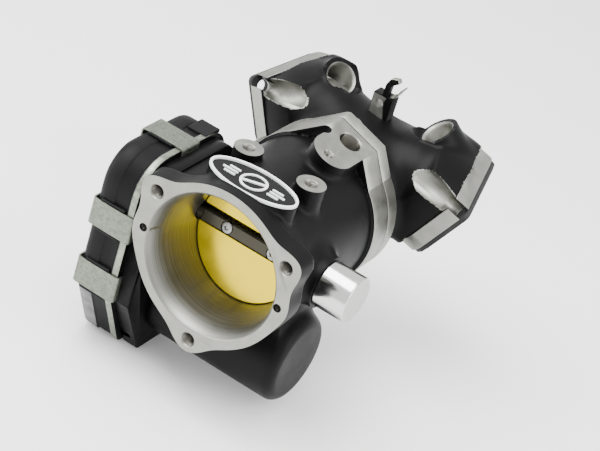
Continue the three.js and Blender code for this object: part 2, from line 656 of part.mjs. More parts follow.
function gearCover() {
  const shell = joined([
    prism('x', rounded(caseCorners(0)), CASE_OUTER_X + 3, CASE_SPLIT_X - GAP - 0.6),
    prism('x', rounded(caseCorners(1.2)), CASE_OUTER_X + 1, CASE_OUTER_X + 3.1),
    prism('x', rounded(caseCorners(3)), CASE_OUTER_X, CASE_OUTER_X + 1.1),
    // ribs that locate the clips
    ...CLIPS.flatMap((clip) => clipRibs(clip)),
    // harness guide at the rear top corner, reaching over the housing's rim
    block([-58, 52, 12], [CASE_FLANGE_X, 64.5, 28.4]),
  ]);
  return cut(shell, [
    prism('x', rounded(caseCorners(-0.75)), CASE_SPLIT_X - GAP - 0.6, PAN_BACK_X),
    prism('x', rounded(caseCorners(CASE_WALL)), CASE_OUTER_X + CASE_WALL, CASE_SPLIT_X + 1),
    drum('x', onAxis(IDLER_AXIS), IDLER_PIN_R + GAP, CASE_OUTER_X + 1.4, CASE_OUTER_X + 4),
  ]);
}

const coverSeal = () => cut(
  prism('x', rounded(caseCorners(0.2)), CASE_SPLIT_X - GAP * 0.5 - 0.6, CASE_SPLIT_X - GAP * 0.5),
  [prism('x', rounded(caseCorners(CASE_WALL)), CASE_SPLIT_X - 2, CASE_SPLIT_X + 1)]);

// Each spring clip lies across the rim: a point on the outline, and the outward direction.
const CLIP_WIDTH = 14.5;
const CLIP_T = 0.9;
const CLIPS = [
  { name: 'cover_clip_top', at: [37.6, 27.5], out: 90 },
  { name: 'cover_clip_front_upper', at: [CASE_FRONT_Y, -7.6], out: 180 },
  { name: 'cover_clip_front_lower', at: [CASE_FRONT_Y, -42.2], out: 180 },
  { name: 'cover_clip_rear', at: [CASE_REAR_Y, -36], out: 0 },
];

// A solid drawn with local +Y outwards from the rim, +X along X and Z across, put on its clip's place.
function atClip(clip, solid) {
  return solid.rotate([clip.out, 0, 0]).translate([0, ...clip.at]);
}

const clipBox = (x, out, half) => block([x[0], out[0], -half], [x[1], out[1], half]);

function clipRibs(clip) {
  const place = CLIP_WIDTH / 2 + 0.9;
  return [-1, 1].map((side) => atClip(clip, block(
    [CASE_OUTER_X + 3.2, -1.5, side * place - 0.5], [CASE_SPLIT_X - 1.2, 1.4, side * place + 0.5])));
}

function coverClip(clip) {
  const half = CLIP_WIDTH / 2;
  const outerEnd = CASE_OUTER_X - GAP;
  const innerEnd = CASE_FLANGE_X + GAP;
  const strap = [0.7, 0.7 + CLIP_T];
  return atClip(clip, joined([
    clipBox([outerEnd - CLIP_T, innerEnd + CLIP_T], strap, half),
    clipBox([innerEnd, innerEnd + CLIP_T], [-1.8, strap[1]], half),
    clipBox([outerEnd - CLIP_T, outerEnd], [-5.5, strap[1]], half),
  ]));
}

function connectorShell() {
  const { x, y, z } = CONNECTOR;
  return cut(block([x[0], y[0], z[0]], [x[1], y[1], z[1]]), [
    block([x[0] + CONNECTOR_WALL, SOCKET_FLOOR_Y, z[0] + CONNECTOR_WALL],
      [x[1] - CONNECTOR_WALL, y[1] + 1, z[1] - CONNECTOR_WALL]),
  ]);
}

// Contacts standing on a carrier that lies on the floor of the socket.
function connectorPins() {
  const { x, z } = CONTACTS;
  const floor = SOCKET_FLOOR_Y + GAP;
  const carrier = block([x[0] - 1.5, floor, z[0] - 1.5], [x[1] + 1.5, floor + 0.8, z[2] + 1.5]);
  const pins = x.flatMap((px) => z.map((pz) =>
    block([px - 0.4, floor, pz - 0.4], [px + 0.4, floor + 6, pz + 0.4])));
  return joined([carrier, ...pins]);
}

// ---- manifold ----

// Head flange frame: out along the port, u to the rear and v down along its edges.
function portFrame(side) {
  const out = new THREE.Vector3(side * Math.cos(rad(PORT_BACK)) * Math.cos(rad(PORT_DOWN)),
    Math.sin(rad(PORT_BACK)) * Math.cos(rad(PORT_DOWN)), -Math.sin(rad(PORT_DOWN)));
  const rear = new THREE.Vector3(0, 1, 0).addScaledVector(out, -out.y).normalize();
  const down = new THREE.Vector3().crossVectors(rear, out).multiplyScalar(side);
  const spin = side * rad(PORT_SPIN);
  const corner = new THREE.Vector3(side * PORT_CORNER[0], PORT_CORNER[1], PORT_CORNER[2]);
  const axes = { out, u: rear.applyAxisAngle(out, spin), v: down.applyAxisAngle(out, spin), corner };
  Object.values(axes).forEach((axis) => axis.applyAxisAngle(new THREE.Vector3(0, 1, 0), rad(HEAD_ROLL)));
  return { side, ...axes };
}

// Puts a geometry drawn with (u, v, out) as its X, Y, Z onto the head flange.
function onPort(frame, geometry) {
  const basis = new THREE.Matrix4().makeBasis(frame.u, frame.v, frame.out).setPosition(frame.corner);
  return solidOf(geometry.applyMatrix4(basis));
}

const portSquare = (inset) => rounded(insetCorners([
  [0, 0, 4], [PORT_FLANGE_SIDE, 0, 14], [PORT_FLANGE_SIDE, PORT_FLANGE_DROP, 5],
  [0, PORT_FLANGE_DROP, 17],
], inset), 4);

const raised = (shape, from, to) => new THREE.ExtrudeGeometry(shape,
  { depth: to - from, bevelEnabled: false, curveSegments: 6 }).translate(0, 0, from);

const PORT_U = PORT_FLANGE_SIDE / 2;
const PORT_V = PORT_FLANGE_DROP / 2;
const portDrum = (frame, radius, from, to, u = PORT_U, v = PORT_V) => onPort(frame,
  new THREE.CylinderGeometry(radius, radius, to - from, facets([[radius]])).rotateX(Math.PI / 2)
    .translate(u, v, (from + to) / 2));

const PORT_BOLT = 7.6; // bolt centre from both edges
const PORT_BOLTS = [[PORT_BOLT, PORT_BOLT],
  [PORT_FLANGE_SIDE - PORT_BOLT, PORT_FLANGE_DROP - PORT_BOLT]];
const PORT_BOLT_R = 3.3;
const SCALLOP_R = 7;
const SCALLOP_LENGTH = 34;

// A closed skin over a row of rings with the same number of points, capped at both ends.
function lofted(rings) {
  const count = rings[0].length;
  const centre = (ring) => ring.reduce((sum, p) => sum.add(p), new THREE.Vector3())
    .divideScalar(count);
  const points = [...rings.flat(), centre(rings[0]), centre(rings.at(-1))];
  const last = (rings.length - 1) * count;
  const faces = [];
  for (let k = 0; k < count; k += 1) {
    const next = (k + 1) % count;
    for (let row = 0; row < last; row += count) {
      faces.push(row + k, row + next, row + count + k, row + next, row + count + next, row + count + k);
    }
    faces.push(points.length - 2, next, k, points.length - 1, last + k, last + next);
  }
  return solidOf(new THREE.BufferGeometry().setFromPoints(points).setIndex(faces));
}

// Skin round the centre line of a runner. A ring is a circle that opens into a rounded square
// just before the head flange: |x/a|^p + |y/b|^p = 1 with p growing from 2 by `square`, and a
// and b by `flare`.
function runner(frame, radius, square, flare, reach) {
  const sides = facets([[radius]]) - 8;
  const ringCount = 7;
  const mouth = frame.corner.clone().addScaledVector(frame.u, PORT_U)
    .addScaledVector(frame.v, PORT_V);
  const path = new THREE.CubicBezierCurve3(
    new THREE.Vector3(0, 134, 5), new THREE.Vector3(frame.side * 12, 138, 10),
    mouth.clone().addScaledVector(frame.out, -18), mouth.clone());
  const rings = [];
  for (let i = 0; i < ringCount; i += 1) {
    const t = i / (ringCount - 1);
    const along = path.getTangent(t);
    const across = new THREE.Vector3(0, 1, 0).lerp(frame.u, t);
    across.addScaledVector(along, -across.dot(along)).normalize();
    const up = new THREE.Vector3().crossVectors(along, across);
    const open = t ** 8;
    const power = 2 + square * open;
    const centre = path.getPoint(t).addScaledVector(along, t === 1 ? reach : 0);
    rings.push(Array.from({ length: sides }, (_, k) => {
      const [c, d] = polar(1, (360 * k) / sides);
      const a = radius + flare[0] * open;
      const b = radius + flare[1] * open;
      const r = 1 / (Math.abs(c / a) ** power + Math.abs(d / b) ** power) ** (1 / power);
      return centre.clone().addScaledVector(across, r * c).addScaledVector(up, r * d);
    }));
  }
  return lofted(rings);
}

// Solid turned about an injector's axis: profile of [radius, distance below the mouth].
function onInjector(side, profile) {
  const axis = new THREE.Vector3(side * INJECTOR_AXIS[0], INJECTOR_AXIS[1], INJECTOR_AXIS[2])
    .normalize().negate();
  const line = profile.map(([r, s]) => new THREE.Vector2(r, s));
  const turn = new THREE.Quaternion().setFromUnitVectors(new THREE.Vector3(0, 1, 0), axis);
  const mouth = [side * INJECTOR_MOUTH[0], INJECTOR_MOUTH[1], INJECTOR_MOUTH[2]];
  return solidOf(new THREE.LatheGeometry(line, facets(profile)).applyQuaternion(turn).translate(...mouth));
}


function intakeManifold() {
  const frames = [portFrame(1), portFrame(-1)];
  const start = JOINT_Y + GAP;
  const outside = [
    rearFlange(start, MANIFOLD_FLANGE_END),
    turned('y', [0, 0, 0], [[0, MANIFOLD_FLANGE_END - 1], [34.4, MANIFOLD_FLANGE_END - 1],
      [33, 146], [26, 161], [0, 169]]),
    railBracket(),
  ];
  const cuts = [
    turned('y', [0, 0, 0], [[0, start - 1], [BORE_R, start - 1], [BORE_R, 112],
      [29, 145], [22, 158], [0, 165]]),
  ];
  JOINT_SCREW_PLACES.forEach(([radius, angle]) => {
    const [x, z] = polar(radius, angle);
    cuts.push(drum('y', [x, 0, z], 2.9, start - 1, MANIFOLD_FLANGE_END + 5));
    cuts.push(drum('y', [x, 0, z], 5, MANIFOLD_FLANGE_END, MANIFOLD_FLANGE_END + 6));
  });
  frames.forEach((frame) => {
    outside.push(runner(frame, RUNNER_R, 5, RUNNER_FLARE, 1));
    outside.push(onPort(frame, raised(portSquare(0), 0, PORT_FLANGE_T)));
    outside.push(onInjector(frame.side, [[0, 0], [11, 0], [12, 14], [12.5, 30], [0, 30]]));
    cuts.push(runner(frame, PORT_R, 0, [0, 0], PORT_FLANGE_T + 3));
    // injector seat, with its face cut clear of the flange
    cuts.push(onInjector(frame.side, [[0, -12], [11.3, -12], [11.3, 0], [8.5, 0], [7.2, 1.4],
      [7.2, 13], [5.4, 14], [5.4, 32], [0, 32]]));
    // nothing stands past the head face
    cuts.push(onPort(frame, raised(portSquare(-12), PORT_FLANGE_T, PORT_FLANGE_T + 14)));
    // bolt slot open to the corner, bolt hole across from it, and a tool recess above each
    const half = PORT_BOLT_R * Math.SQRT1_2;
    const slot = rounded([[-6 - half, half - 6], [half - 6, -6 - half],
      [PORT_BOLT + half, PORT_BOLT - half], [PORT_BOLT - half, PORT_BOLT + half]]);
    cuts.push(onPort(frame, raised(slot, -1, PORT_FLANGE_T + 1)));
    PORT_BOLTS.forEach(([u, v]) => {
      cuts.push(portDrum(frame, PORT_BOLT_R, -1, PORT_FLANGE_T + 1, u, v));
      cuts.push(portDrum(frame, SCALLOP_R, -SCALLOP_LENGTH, 0, u, v));
    });
  });
  return cut(joined(outside), cuts);
}

const BRACKET = { x: [-6.4, 5], y: [138, 145.2], z: [26, 47.6] };

// Small fuel-rail bracket: a drilled block with a hooked finger.
function railBracket() {
  const { x, y, z } = BRACKET;
  const finger = rounded([[-1.6, 46], [1.6, 46], [1.9, 54.6, 1.5], [5.6, 57.4], [4.4, 59.4],
    [0.4, 58, 2], [-1.3, 54]], 3);
  const blockPiece = block([x[0], y[0], z[0]], [x[1], y[1], z[1]]);
  return cut(joined([blockPiece, prism('y', finger, y[0], y[0] + 3.6)]), [
    drum('y', [-1.5, 0, 42.4], 2.3, y[0] - 1, y[1] + 1),
  ]);
}

// Spring strip that lies over the bracket behind the finger.
function railSpring() {
  const { y, z } = BRACKET;
  const strip = rounded([[2.6, z[1] + GAP], [5.2, z[1] + GAP], [8.2, z[1] + 7], [7.4, z[1] + 7.4],
    [4.6, z[1] + 1.3], [2.6, z[1] + 1.1]], 3);
  return prism('y', strip, y[0] + 0.6, y[1] - 0.6);
}

const headGasket = (side) => {
  const frame = portFrame(side);
  const sheet = onPort(frame, raised(portSquare(1), PORT_FLANGE_T + GAP, PORT_FLANGE_T + GAP + 2.4));
  return cut(sheet, [
    portDrum(frame, PORT_R + 0.8, 0, 20),
    ...PORT_BOLTS.map(([u, v]) => portDrum(frame, PORT_BOLT_R, 0, 20, u, v)),
  ]);
};

function jointScrew([radius, angle]) {
  const [x, z] = polar(radius, angle);
  const seat = MANIFOLD_FLANGE_END + GAP;
  return cut(joined([
    drum('y', [x, 0, z], 4.2, seat, seat + 4),
    drum('y', [x, 0, z], 2.35, REAR_FLANGE_Y + 3, seat + 1),
  ]), [drum('y', [x, 0, z], 2.2, seat + 1.8, seat + 5)]);
}

// ---- badge ----

const badgePlate = () => prism('z', ovalShape(BADGE_A - 2.1, BADGE_B - 2.1), BADGE_TOP - 2.6,
  BADGE_TOP - 1.2);
const badgeRing = () => cut(
  prism('z', ovalShape(BADGE_A, BADGE_B), BADGE_TOP - 1.3, BADGE_TOP),
  [prism('z', ovalShape(BADGE_A - 1.8, BADGE_B - 1.8), BADGE_TOP - 3, BADGE_TOP + 1)]);

// ---- assembly ----

const NODES = [
  ['throttle_body', 'black_body', throttleBody],
  ['intake_manifold', 'black_body', intakeManifold],
  ['manifold_o_ring', 'rubber', () => tube('y', [0, 0, 0], 35.1, 32.9, JOINT_Y - 1.4, JOINT_Y + 0.1)],
  ...JOINT_SCREW_PLACES.map((place, k) => [`manifold_screw_${k + 1}`, 'steel', () => jointScrew(place)]),
  ['head_gasket_right', 'gasket', () => headGasket(1)],
  ['head_gasket_left', 'gasket', () => headGasket(-1)],
  ['rail_spring_clip', 'zinc', railSpring],
  ['badge_plate', 'black_plastic', badgePlate],
  ['badge_ring', 'ring_white', badgeRing],
  ['throttle_shaft', 'shaft_steel', throttleShaft],
  ['throttle_plate', 'brass', throttlePlate],
  ['plate_screw_left', 'steel', () => plateScrew(-1)],
  ['plate_screw_right', 'steel', () => plateScrew(1)],
  ['sector_gear', 'white_plastic', sectorGear],
  ['sensor_magnet', 'magnet', () => ringOnShaft(6, 3.4 + GAP, GEAR_END_X - 4.6, GEAR_END_X - GAP)],
  ['shaft_bearing_left', 'steel', () => ringOnShaft(BEARING_R, SHAFT_R + GAP, -43.4, -38.4)],
  ['shaft_seal_left', 'rubber', () => ringOnShaft(BEARING_R, SHAFT_R + GAP, -38.1, -36.3)],
  ['shaft_seal_right', 'rubber', () => ringOnShaft(SMALL_BEARING_R, SHAFT_R + GAP, 35.1, 36.6)],
  ['shaft_bearing_right', 'steel', () => ringOnShaft(SMALL_BEARING_R, SHAFT_R + GAP, 36.9, 41.7)],
  ['shaft_end_cap', 'polished', shaftEndCap],
  ['return_spring', 'steel', returnSpring],
  ['idler_pin', 'steel', () => drum('x', onAxis(IDLER_AXIS), IDLER_PIN_R, -67.2, -39.8)],
  ['idler_gear', 'white_plastic', idlerGear],
  ['motor_can', 'steel', motorCan],
  ['motor_plate', 'steel', motorPlate],
  ...MOTOR_SCREW_ANGLES.map((angle, k) => [`motor_screw_${k + 1}`, 'steel', () => motorScrew(angle)]),
  ['motor_armature', 'steel', motorArmature],
  ['motor_pinion', 'brass', motorPinion],
  ['gear_cover', 'black_plastic', gearCover],
  ['cover_seal', 'rubber', coverSeal],
  ['position_sensor_board', 'board_green', positionBoard],
  ['connector_shell', 'black_plastic', connectorShell],
  ['connector_pins', 'gold_pin', connectorPins],
  ...CLIPS.map((clip) => [clip.name, 'zinc', () => coverClip(clip)]),
];

const design = new THREE.Group();
for (const [name, material, make] of NODES) {
  const mesh = new THREE.Mesh(geometryOf(make()), MATERIALS[material]);
  mesh.name = name;
  design.add(mesh);
}

const assembly = new THREE.Group();
design.position.set(...FRAME_SHIFT);
assembly.add(design);

export default assembly;
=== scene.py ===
import math

import bpy
import numpy as np
from bpy.props import FloatProperty, FloatVectorProperty, IntProperty, PointerProperty
from mathutils import Matrix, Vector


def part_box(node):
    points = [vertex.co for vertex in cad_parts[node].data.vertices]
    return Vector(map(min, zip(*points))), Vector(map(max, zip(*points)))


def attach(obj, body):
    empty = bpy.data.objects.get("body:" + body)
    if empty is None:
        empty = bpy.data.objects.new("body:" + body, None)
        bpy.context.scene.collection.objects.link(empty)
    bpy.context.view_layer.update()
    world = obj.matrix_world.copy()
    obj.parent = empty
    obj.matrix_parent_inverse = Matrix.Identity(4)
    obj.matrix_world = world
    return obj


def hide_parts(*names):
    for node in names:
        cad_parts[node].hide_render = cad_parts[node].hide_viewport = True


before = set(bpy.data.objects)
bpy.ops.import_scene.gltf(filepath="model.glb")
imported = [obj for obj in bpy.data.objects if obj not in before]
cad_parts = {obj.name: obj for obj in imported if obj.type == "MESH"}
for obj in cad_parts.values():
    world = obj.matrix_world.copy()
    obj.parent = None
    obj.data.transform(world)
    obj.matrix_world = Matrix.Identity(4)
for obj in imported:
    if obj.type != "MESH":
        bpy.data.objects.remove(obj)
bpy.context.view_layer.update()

bl_info = {
    "name": "Throttle body",
    "version": (1, 0, 0),
    "blender": (4, 5, 0),
    "location": "View3D > Sidebar > Throttle",
    "description": "Castings, throttle plate, gear cover, clips, badge and finishes of a throttle body",
    "category": "Object",
}

# Shapes are worked out in millimetres from the centre of the inlet mouth: +X runs along the
# throttle shaft to its capped end, +Y down the bore and +Z up. ORIGIN is that centre in the
# part's own frame.
_body_low = np.array(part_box("throttle_body")[0])
_plate_middle = np.mean(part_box("throttle_plate"), axis=0)
ORIGIN = 1000 * np.array([_plate_middle[0], _body_low[1], _plate_middle[2]])

MOUTH_R, BORE_R, TAPER_END = 36.0, 31.0, 30.0
SHAFT_Y, SHAFT_R, CLOSED_TILT = 38.35, 5.0, math.radians(11.2)
JOINT_Y, REAR_FLANGE_Y, MANIFOLD_END = 98.6, 85.1, 107.2
REAR_FLANGE_R = 39.9
MOTOR = (47.0, -54.6)
TUBE_R, TUBE_END = 23.8, 38.2
CASE_OUTER, CASE_SPLIT, CASE_FLANGE, PAN_FLOOR, PAN_BACK = -69.0, -50.0, -46.5, -41.0, -38.0
BADGE = (24.25, 12.47, 19.63, 41.4)  # half lengths along X and Y, place along Y, top
BOSS_X, BOSS_Y, BOSS_TOP, BOSS_R = 18.24, 42.09, 41.6, 7.4
PAD_TILT, PAD_TOP, PAD_MIDDLE, PAD_NOSE_Y, PAD_NOSE_R = math.radians(17.7), 45.4, -3.1, 73.2, 11.0
CAP_START, CAP_END, CAP_R = 43.0, 60.2, 12.1
HEAD_ROLL, PORT_BACK, PORT_DOWN, PORT_SPIN = (math.radians(a) for a in (3.4, 20.5, 22.9, 4.4))
PORT_CORNER = (60.2, 115.6, 29.7)
PORT_U, PORT_V, PORT_T, PORT_R = 56.0, 50.0, 8.5, 20.0
PORT_BOLT, PORT_BOLT_R, SCALLOP_R = 7.6, 3.3, 6.4
INJECTOR_MOUTH, INJECTOR_AXIS = (29.7, 147.3, 39.5), (-0.59, -0.31, 0.74)
IDLER = (36.066, -29.913)
PLATE_SCREW_X = 13.4
SENSOR_PORT_Y, SENSOR_SCREW_Y, SENSOR_SCREW_SHIFT = 88.6, 68.6, 0.3
LOCATING_HOLE_X, LOCATING_HOLE_R = 39.1, 1.4
JOINT_SCREWS = ((40.3, 88.0), (39.6, 172.0), (39.6, 292.0))
INLET_BOLTS, INLET_BOLT_R = (30.0, 150.0, 270.0), 42.9
FLANGE_LOBES = ((30, 10.2, 13), (150, 10.2, 13), (270, 8.2, 15), (0, 3.8, 16), (180, 4.0, 19))


# ---- settings ----

class CastingSettings(bpy.types.PropertyGroup):
    """Grid and blend sizes of the two castings."""
    step: FloatProperty(name="Grid step", description="Spacing of the grid the castings are worked out on",
                        default=0.00076, min=0.0005, max=0.003, unit="LENGTH", precision=5)
    fillet: FloatProperty(name="Fillet", description="Width of the blend between a boss and the barrel",
                          default=0.003, min=0.0005, max=0.01, unit="LENGTH", precision=5)
    facets: IntProperty(name="Facets", description="Flats round a large turned face", default=160,
                        min=32, max=256)


class FinishSettings(bpy.types.PropertyGroup):
    """Colours of the finishes."""
    anodise: FloatVectorProperty(name="Anodise", description="Black anodised castings",
                                 subtype="COLOR", size=3, default=(0.002, 0.002, 0.0022), min=0, max=1)
    bare: FloatVectorProperty(name="Bare metal", description="Machined faces", subtype="COLOR",
                              size=3, default=(0.27, 0.27, 0.245), min=0, max=1)
    plate: FloatVectorProperty(name="Plate", description="Throttle plate", subtype="COLOR",
                               size=3, default=(0.66, 0.50, 0.012), min=0, max=1)
    clip: FloatVectorProperty(name="Clips", description="Galvanised clips", subtype="COLOR",
                              size=3, default=(0.155, 0.17, 0.138), min=0, max=1)
    cover: FloatVectorProperty(name="Cover", description="Moulded gear cover", subtype="COLOR",
                               size=3, default=(0.0035, 0.0035, 0.0038), min=0, max=1)
    ring: FloatVectorProperty(name="Badge ring", description="Raised ring of the badge",
                              subtype="COLOR", size=3, default=(0.80, 0.81, 0.82), min=0, max=1)


class StageSettings(bpy.types.PropertyGroup):
    """Floor and lamps."""
    floor: FloatVectorProperty(name="Floor", description="Colour of the floor", subtype="COLOR",
                               size=3, default=(0.97, 0.97, 0.97), min=0, max=1)
    sky: FloatProperty(name="Fill", description="Brightness of the surrounding light", default=1.75,
                       min=0.0, max=5.0)
    key: FloatProperty(name="Key lamp", description="Power of the soft box overhead", default=14.0,
                       min=0.0, max=200.0, unit="POWER")


# ---- meshes ----

def link(name, points, faces):
    """A mesh object from points in shape millimetres and lists of corner indices."""
    mesh = bpy.data.meshes.new(name)
    mesh.from_pydata(((np.asarray(points) + ORIGIN) / 1000).tolist(), [], faces)
    mesh.update()
    obj = bpy.data.objects.new(name, mesh)
    bpy.context.scene.collection.objects.link(obj)
    return obj


def link_quads(name, points, quads):
    """The same for a large all-quad mesh given as arrays."""
    mesh = bpy.data.meshes.new(name)
    mesh.vertices.add(len(points))
    mesh.vertices.foreach_set("co", ((points + ORIGIN) / 1000).astype(np.float32).ravel())
    mesh.loops.add(quads.size)
    mesh.loops.foreach_set("vertex_index", quads.astype(np.int32).ravel())
    mesh.polygons.add(len(quads))
    mesh.polygons.foreach_set("loop_start", np.arange(0, quads.size, 4, dtype=np.int32))
    mesh.update(calc_edges=True)
    mesh.validate()
    obj = bpy.data.objects.new(name, mesh)
    bpy.context.scene.collection.objects.link(obj)
    return obj


def outward(points, faces):
    """Faces turned so that the sum of a.(b x c) over their fans, the volume, is positive."""
    points = np.asarray(points, float)
    fans = np.array([(f[0], f[k], f[k + 1]) for f in faces for k in range(1, len(f) - 1)])
    a, b, c = points[fans[:, 0]], points[fans[:, 1]], points[fans[:, 2]]
    if np.einsum("ij,ij->", a - points[0], np.cross(b - points[0], c - points[0])) < 0:
        faces = [f[::-1] for f in faces]
    return points, faces


AXES = {
    "x": np.array([[0, 1, 0], [0, 0, 1], [1, 0, 0]], float),
    "y": np.array([[0, 0, 1], [1, 0, 0], [0, 1, 0]], float),
    "z": np.array([[1, 0, 0], [0, 1, 0], [0, 0, 1]], float),
}


def lathe(profile, facets, basis, centre=(0, 0, 0)):
    """Turned solid. Point (k, a) = centre + r_k (cos a u + sin a v) + s_k w, over the profile's
    rows of radius r and distance s, with a row of no radius shrunk to one point."""
    u, v, w = AXES[basis] if isinstance(basis, str) else basis
    rows, closed = list(profile), tuple(profile[0]) == tuple(profile[-1]) and profile[0][0] > 0
    if closed:
        rows = rows[:-1]
    turn = np.linspace(0, 2 * np.pi, facets, endpoint=False)
    spokes = np.outer(np.cos(turn), u) + np.outer(np.sin(turn), v)
    points, index = [], []
    for r, s in rows:
        first = sum(len(p) for p in points)
        if r == 0:
            points.append(np.array([np.array(centre) + s * w]))
            index.append(np.full(facets, first))
        else:
            points.append(np.array(centre) + r * spokes + s * w)
            index.append(first + np.arange(facets))
    faces = []
    pairs = list(zip(index, index[1:] + index[:1])) if closed else list(zip(index, index[1:]))
    for a, b in pairs:
        quads = np.stack([a, np.roll(a, -1), np.roll(b, -1), b], axis=1)
        for q in quads.tolist():
            face = list(dict.fromkeys(q))
            if len(face) > 2:
                faces.append(face)
    return outward(np.vstack(points), faces)


def drum(radius, low, high, facets, basis, centre=(0, 0, 0)):
    """Plain round solid between two distances along its axis."""
    return lathe([(0, low), (radius, low), (radius, high), (0, high)], facets, basis, centre)


def prism(outline, low, high, basis, centre=(0, 0, 0)):
    """Outline (p, q) carried straight along w: centre + p u + q v + s w."""
    u, v, w = AXES[basis] if isinstance(basis, str) else basis
    flat = np.asarray(outline, float)
    base = np.array(centre) + np.outer(flat[:, 0], u) + np.outer(flat[:, 1], v)
    n = len(flat)
    k = np.arange(n)
    sides = np.stack([k, (k + 1) % n, (k + 1) % n + n, k + n], axis=1).tolist()
    return outward(np.vstack([base + low * w, base + high * w]),
                   sides + [k[::-1].tolist(), (k + n).tolist()])


def loft(rings):
    """Skin over rows of points, with a flat face on each end row."""
    n, m = len(rings[0]), len(rings)
    k = np.arange(n)
    faces = [q for r in range(m - 1) for q in np.stack(
        [k + r * n, (k + 1) % n + r * n, (k + 1) % n + (r + 1) * n, k + (r + 1) * n], axis=1).tolist()]
    return outward(np.vstack(rings), faces + [k[::-1].tolist(), (k + (m - 1) * n).tolist()])


def box(low, high):
    """Box between two corners."""
    (x0, y0, z0), (x1, y1, z1) = low, high
    return prism([(x0, y0), (x1, y0), (x1, y1), (x0, y1)], z0, z1, "z")


def rounded(corners, steps=8):
    """Outline whose corners (a, b, radius) become arcs: the centre lies on the bisector at
    radius / sin(half angle), and the arc runs between the two tangent points."""
    points = []
    for i, corner in enumerate(corners):
        here = np.array(corner[:2], float)
        radius = corner[2] if len(corner) > 2 else 0
        if radius == 0:
            points.append(here[None])
            continue
        back = np.array(corners[i - 1][:2]) - here
        ahead = np.array(corners[(i + 1) % len(corners)][:2]) - here
        back, ahead = back / np.hypot(*back), ahead / np.hypot(*ahead)
        half = np.arccos(np.clip(back @ ahead, -1, 1)) / 2
        middle = back + ahead
        centre = here + middle / np.hypot(*middle) * radius / np.sin(half)
        reach = radius / np.tan(half)
        start = here + back * reach - centre
        end = here + ahead * reach - centre
        sweep = np.arctan2(start[0] * end[1] - start[1] * end[0], start @ end)
        t = np.linspace(0, sweep, steps + 1)[:, None]
        points.append(centre + np.cos(t) * start + np.sin(t) * np.array([-start[1], start[0]]))
    return np.vstack(points)


def inset(corners, amount):
    """The corners moved in along both neighbouring edges' normals by the same amount."""
    flat = np.array([c[:2] for c in corners], float)
    edge = np.roll(flat, -1, axis=0) - flat
    normal = np.stack([-edge[:, 1], edge[:, 0]], axis=1) / np.hypot(edge[:, 0], edge[:, 1])[:, None]
    before = np.roll(normal, 1, axis=0)
    reach = amount / (1 + np.einsum("ij,ij->i", before, normal))
    moved = flat + reach[:, None] * (before + normal)
    radius = [max(c[2] - amount, 0.5) if len(c) > 2 and c[2] > 0 else 0 for c in corners]
    return [(p[0], p[1], r) for p, r in zip(moved, radius)]


def shade(obj, angle=32.0):
    """Smooth faces with a crease wherever two meet at more than the angle."""
    obj.data.shade_smooth()
    obj.data.set_sharp_from_angle(angle=math.radians(angle))


def bevelled(obj, width, segments=2, angle=35.0):
    """Rounds the edges sharper than the angle."""
    mod = obj.modifiers.new("edge", "BEVEL")
    mod.width = width / 1000
    mod.segments = segments
    mod.limit_method = "ANGLE"
    mod.angle_limit = math.radians(angle)
    mod.harden_normals = True
    return obj


def settle(obj):
    """Puts what the modifiers make into the object's own mesh."""
    depsgraph = bpy.context.evaluated_depsgraph_get()
    mesh = bpy.data.meshes.new_from_object(obj.evaluated_get(depsgraph))
    obj.modifiers.clear()
    obj.data = mesh
    return obj


def machine(obj, steps):
    """Joins and cuts in order: each step is (operation, (points, faces), edge rounding)."""
    tools = []
    for operation, shape, width in steps:
        tool = link("tool", *shape)
        if width:
            bevelled(tool, width)
        mod = obj.modifiers.new(operation, "BOOLEAN")
        mod.operation, mod.solver, mod.object = operation, "MANIFOLD", tool
        tools.append(tool)
    settle(obj)
    for tool in tools:
        bpy.data.objects.remove(tool)
    if len(obj.data.polygons) < 12:
        raise RuntimeError("nothing was left of " + obj.name)
    return obj


def faces_of(obj):
    """Centres in shape millimetres and normals of an object's faces."""
    n = len(obj.data.polygons)
    centre, normal = np.empty(3 * n), np.empty(3 * n)
    obj.data.polygons.foreach_get("center", centre)
    obj.data.polygons.foreach_get("normal", normal)
    return centre.reshape(n, 3) * 1000 - ORIGIN, normal.reshape(n, 3)


def paint(obj, materials, index):
    """Material slots, and each face's slot number."""
    obj.data.materials.clear()
    for material in materials:
        obj.data.materials.append(material)
    obj.data.polygons.foreach_set("material_index", index.astype(np.int32))
    obj.data.update()


def finished(obj, body, material_slot, *nodes):
    """Rides on a body and stands for the CAD nodes; its material slot argument is not used."""
    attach(obj, body)
    if nodes:
        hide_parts(*nodes)
    return obj


# ---- implicit castings ----

def union(a, b, k):
    """Smooth minimum: where a and b are within k of each other the surface bulges between them."""
    h = np.clip(0.5 + 0.5 * (b - a) / k, 0, 1)
    return b * (1 - h) + a * h - k * h * (1 - h)


def without(a, b, k):
    """a with b taken away, with a rounded edge."""
    return -union(-a, b, k)


def slab(value, low, high):
    """Distance outside the layer between two values."""
    return np.abs(value - (low + high) / 2) - (high - low) / 2


def round_rim(radial, along, radius):
    """A round solid's distance with its rim rounded: the corner of (radial, along) becomes an arc."""
    p, q = radial + radius, along + radius
    return np.minimum(np.maximum(p, q), 0) + np.hypot(np.maximum(p, 0), np.maximum(q, 0)) - radius


def convex(a, b, corners, k):
    """Distance outside a convex outline: the smooth maximum of its edges' distances."""
    flat = np.array(corners, float)
    value = None
    for p, q in zip(flat, np.roll(flat, -1, axis=0)):
        n = np.array([q[1] - p[1], p[0] - q[0]]) / np.hypot(*(q - p))
        edge = (a - p[0]) * n[0] + (b - p[1]) * n[1]
        value = edge if value is None else -union(-value, -edge, k)
    return value


def ramp(value, start, end):
    """0 before start, 1 after end, and smooth between."""
    t = np.clip((value - start) / (end - start), 0, 1)
    return t * t * (3 - 2 * t)


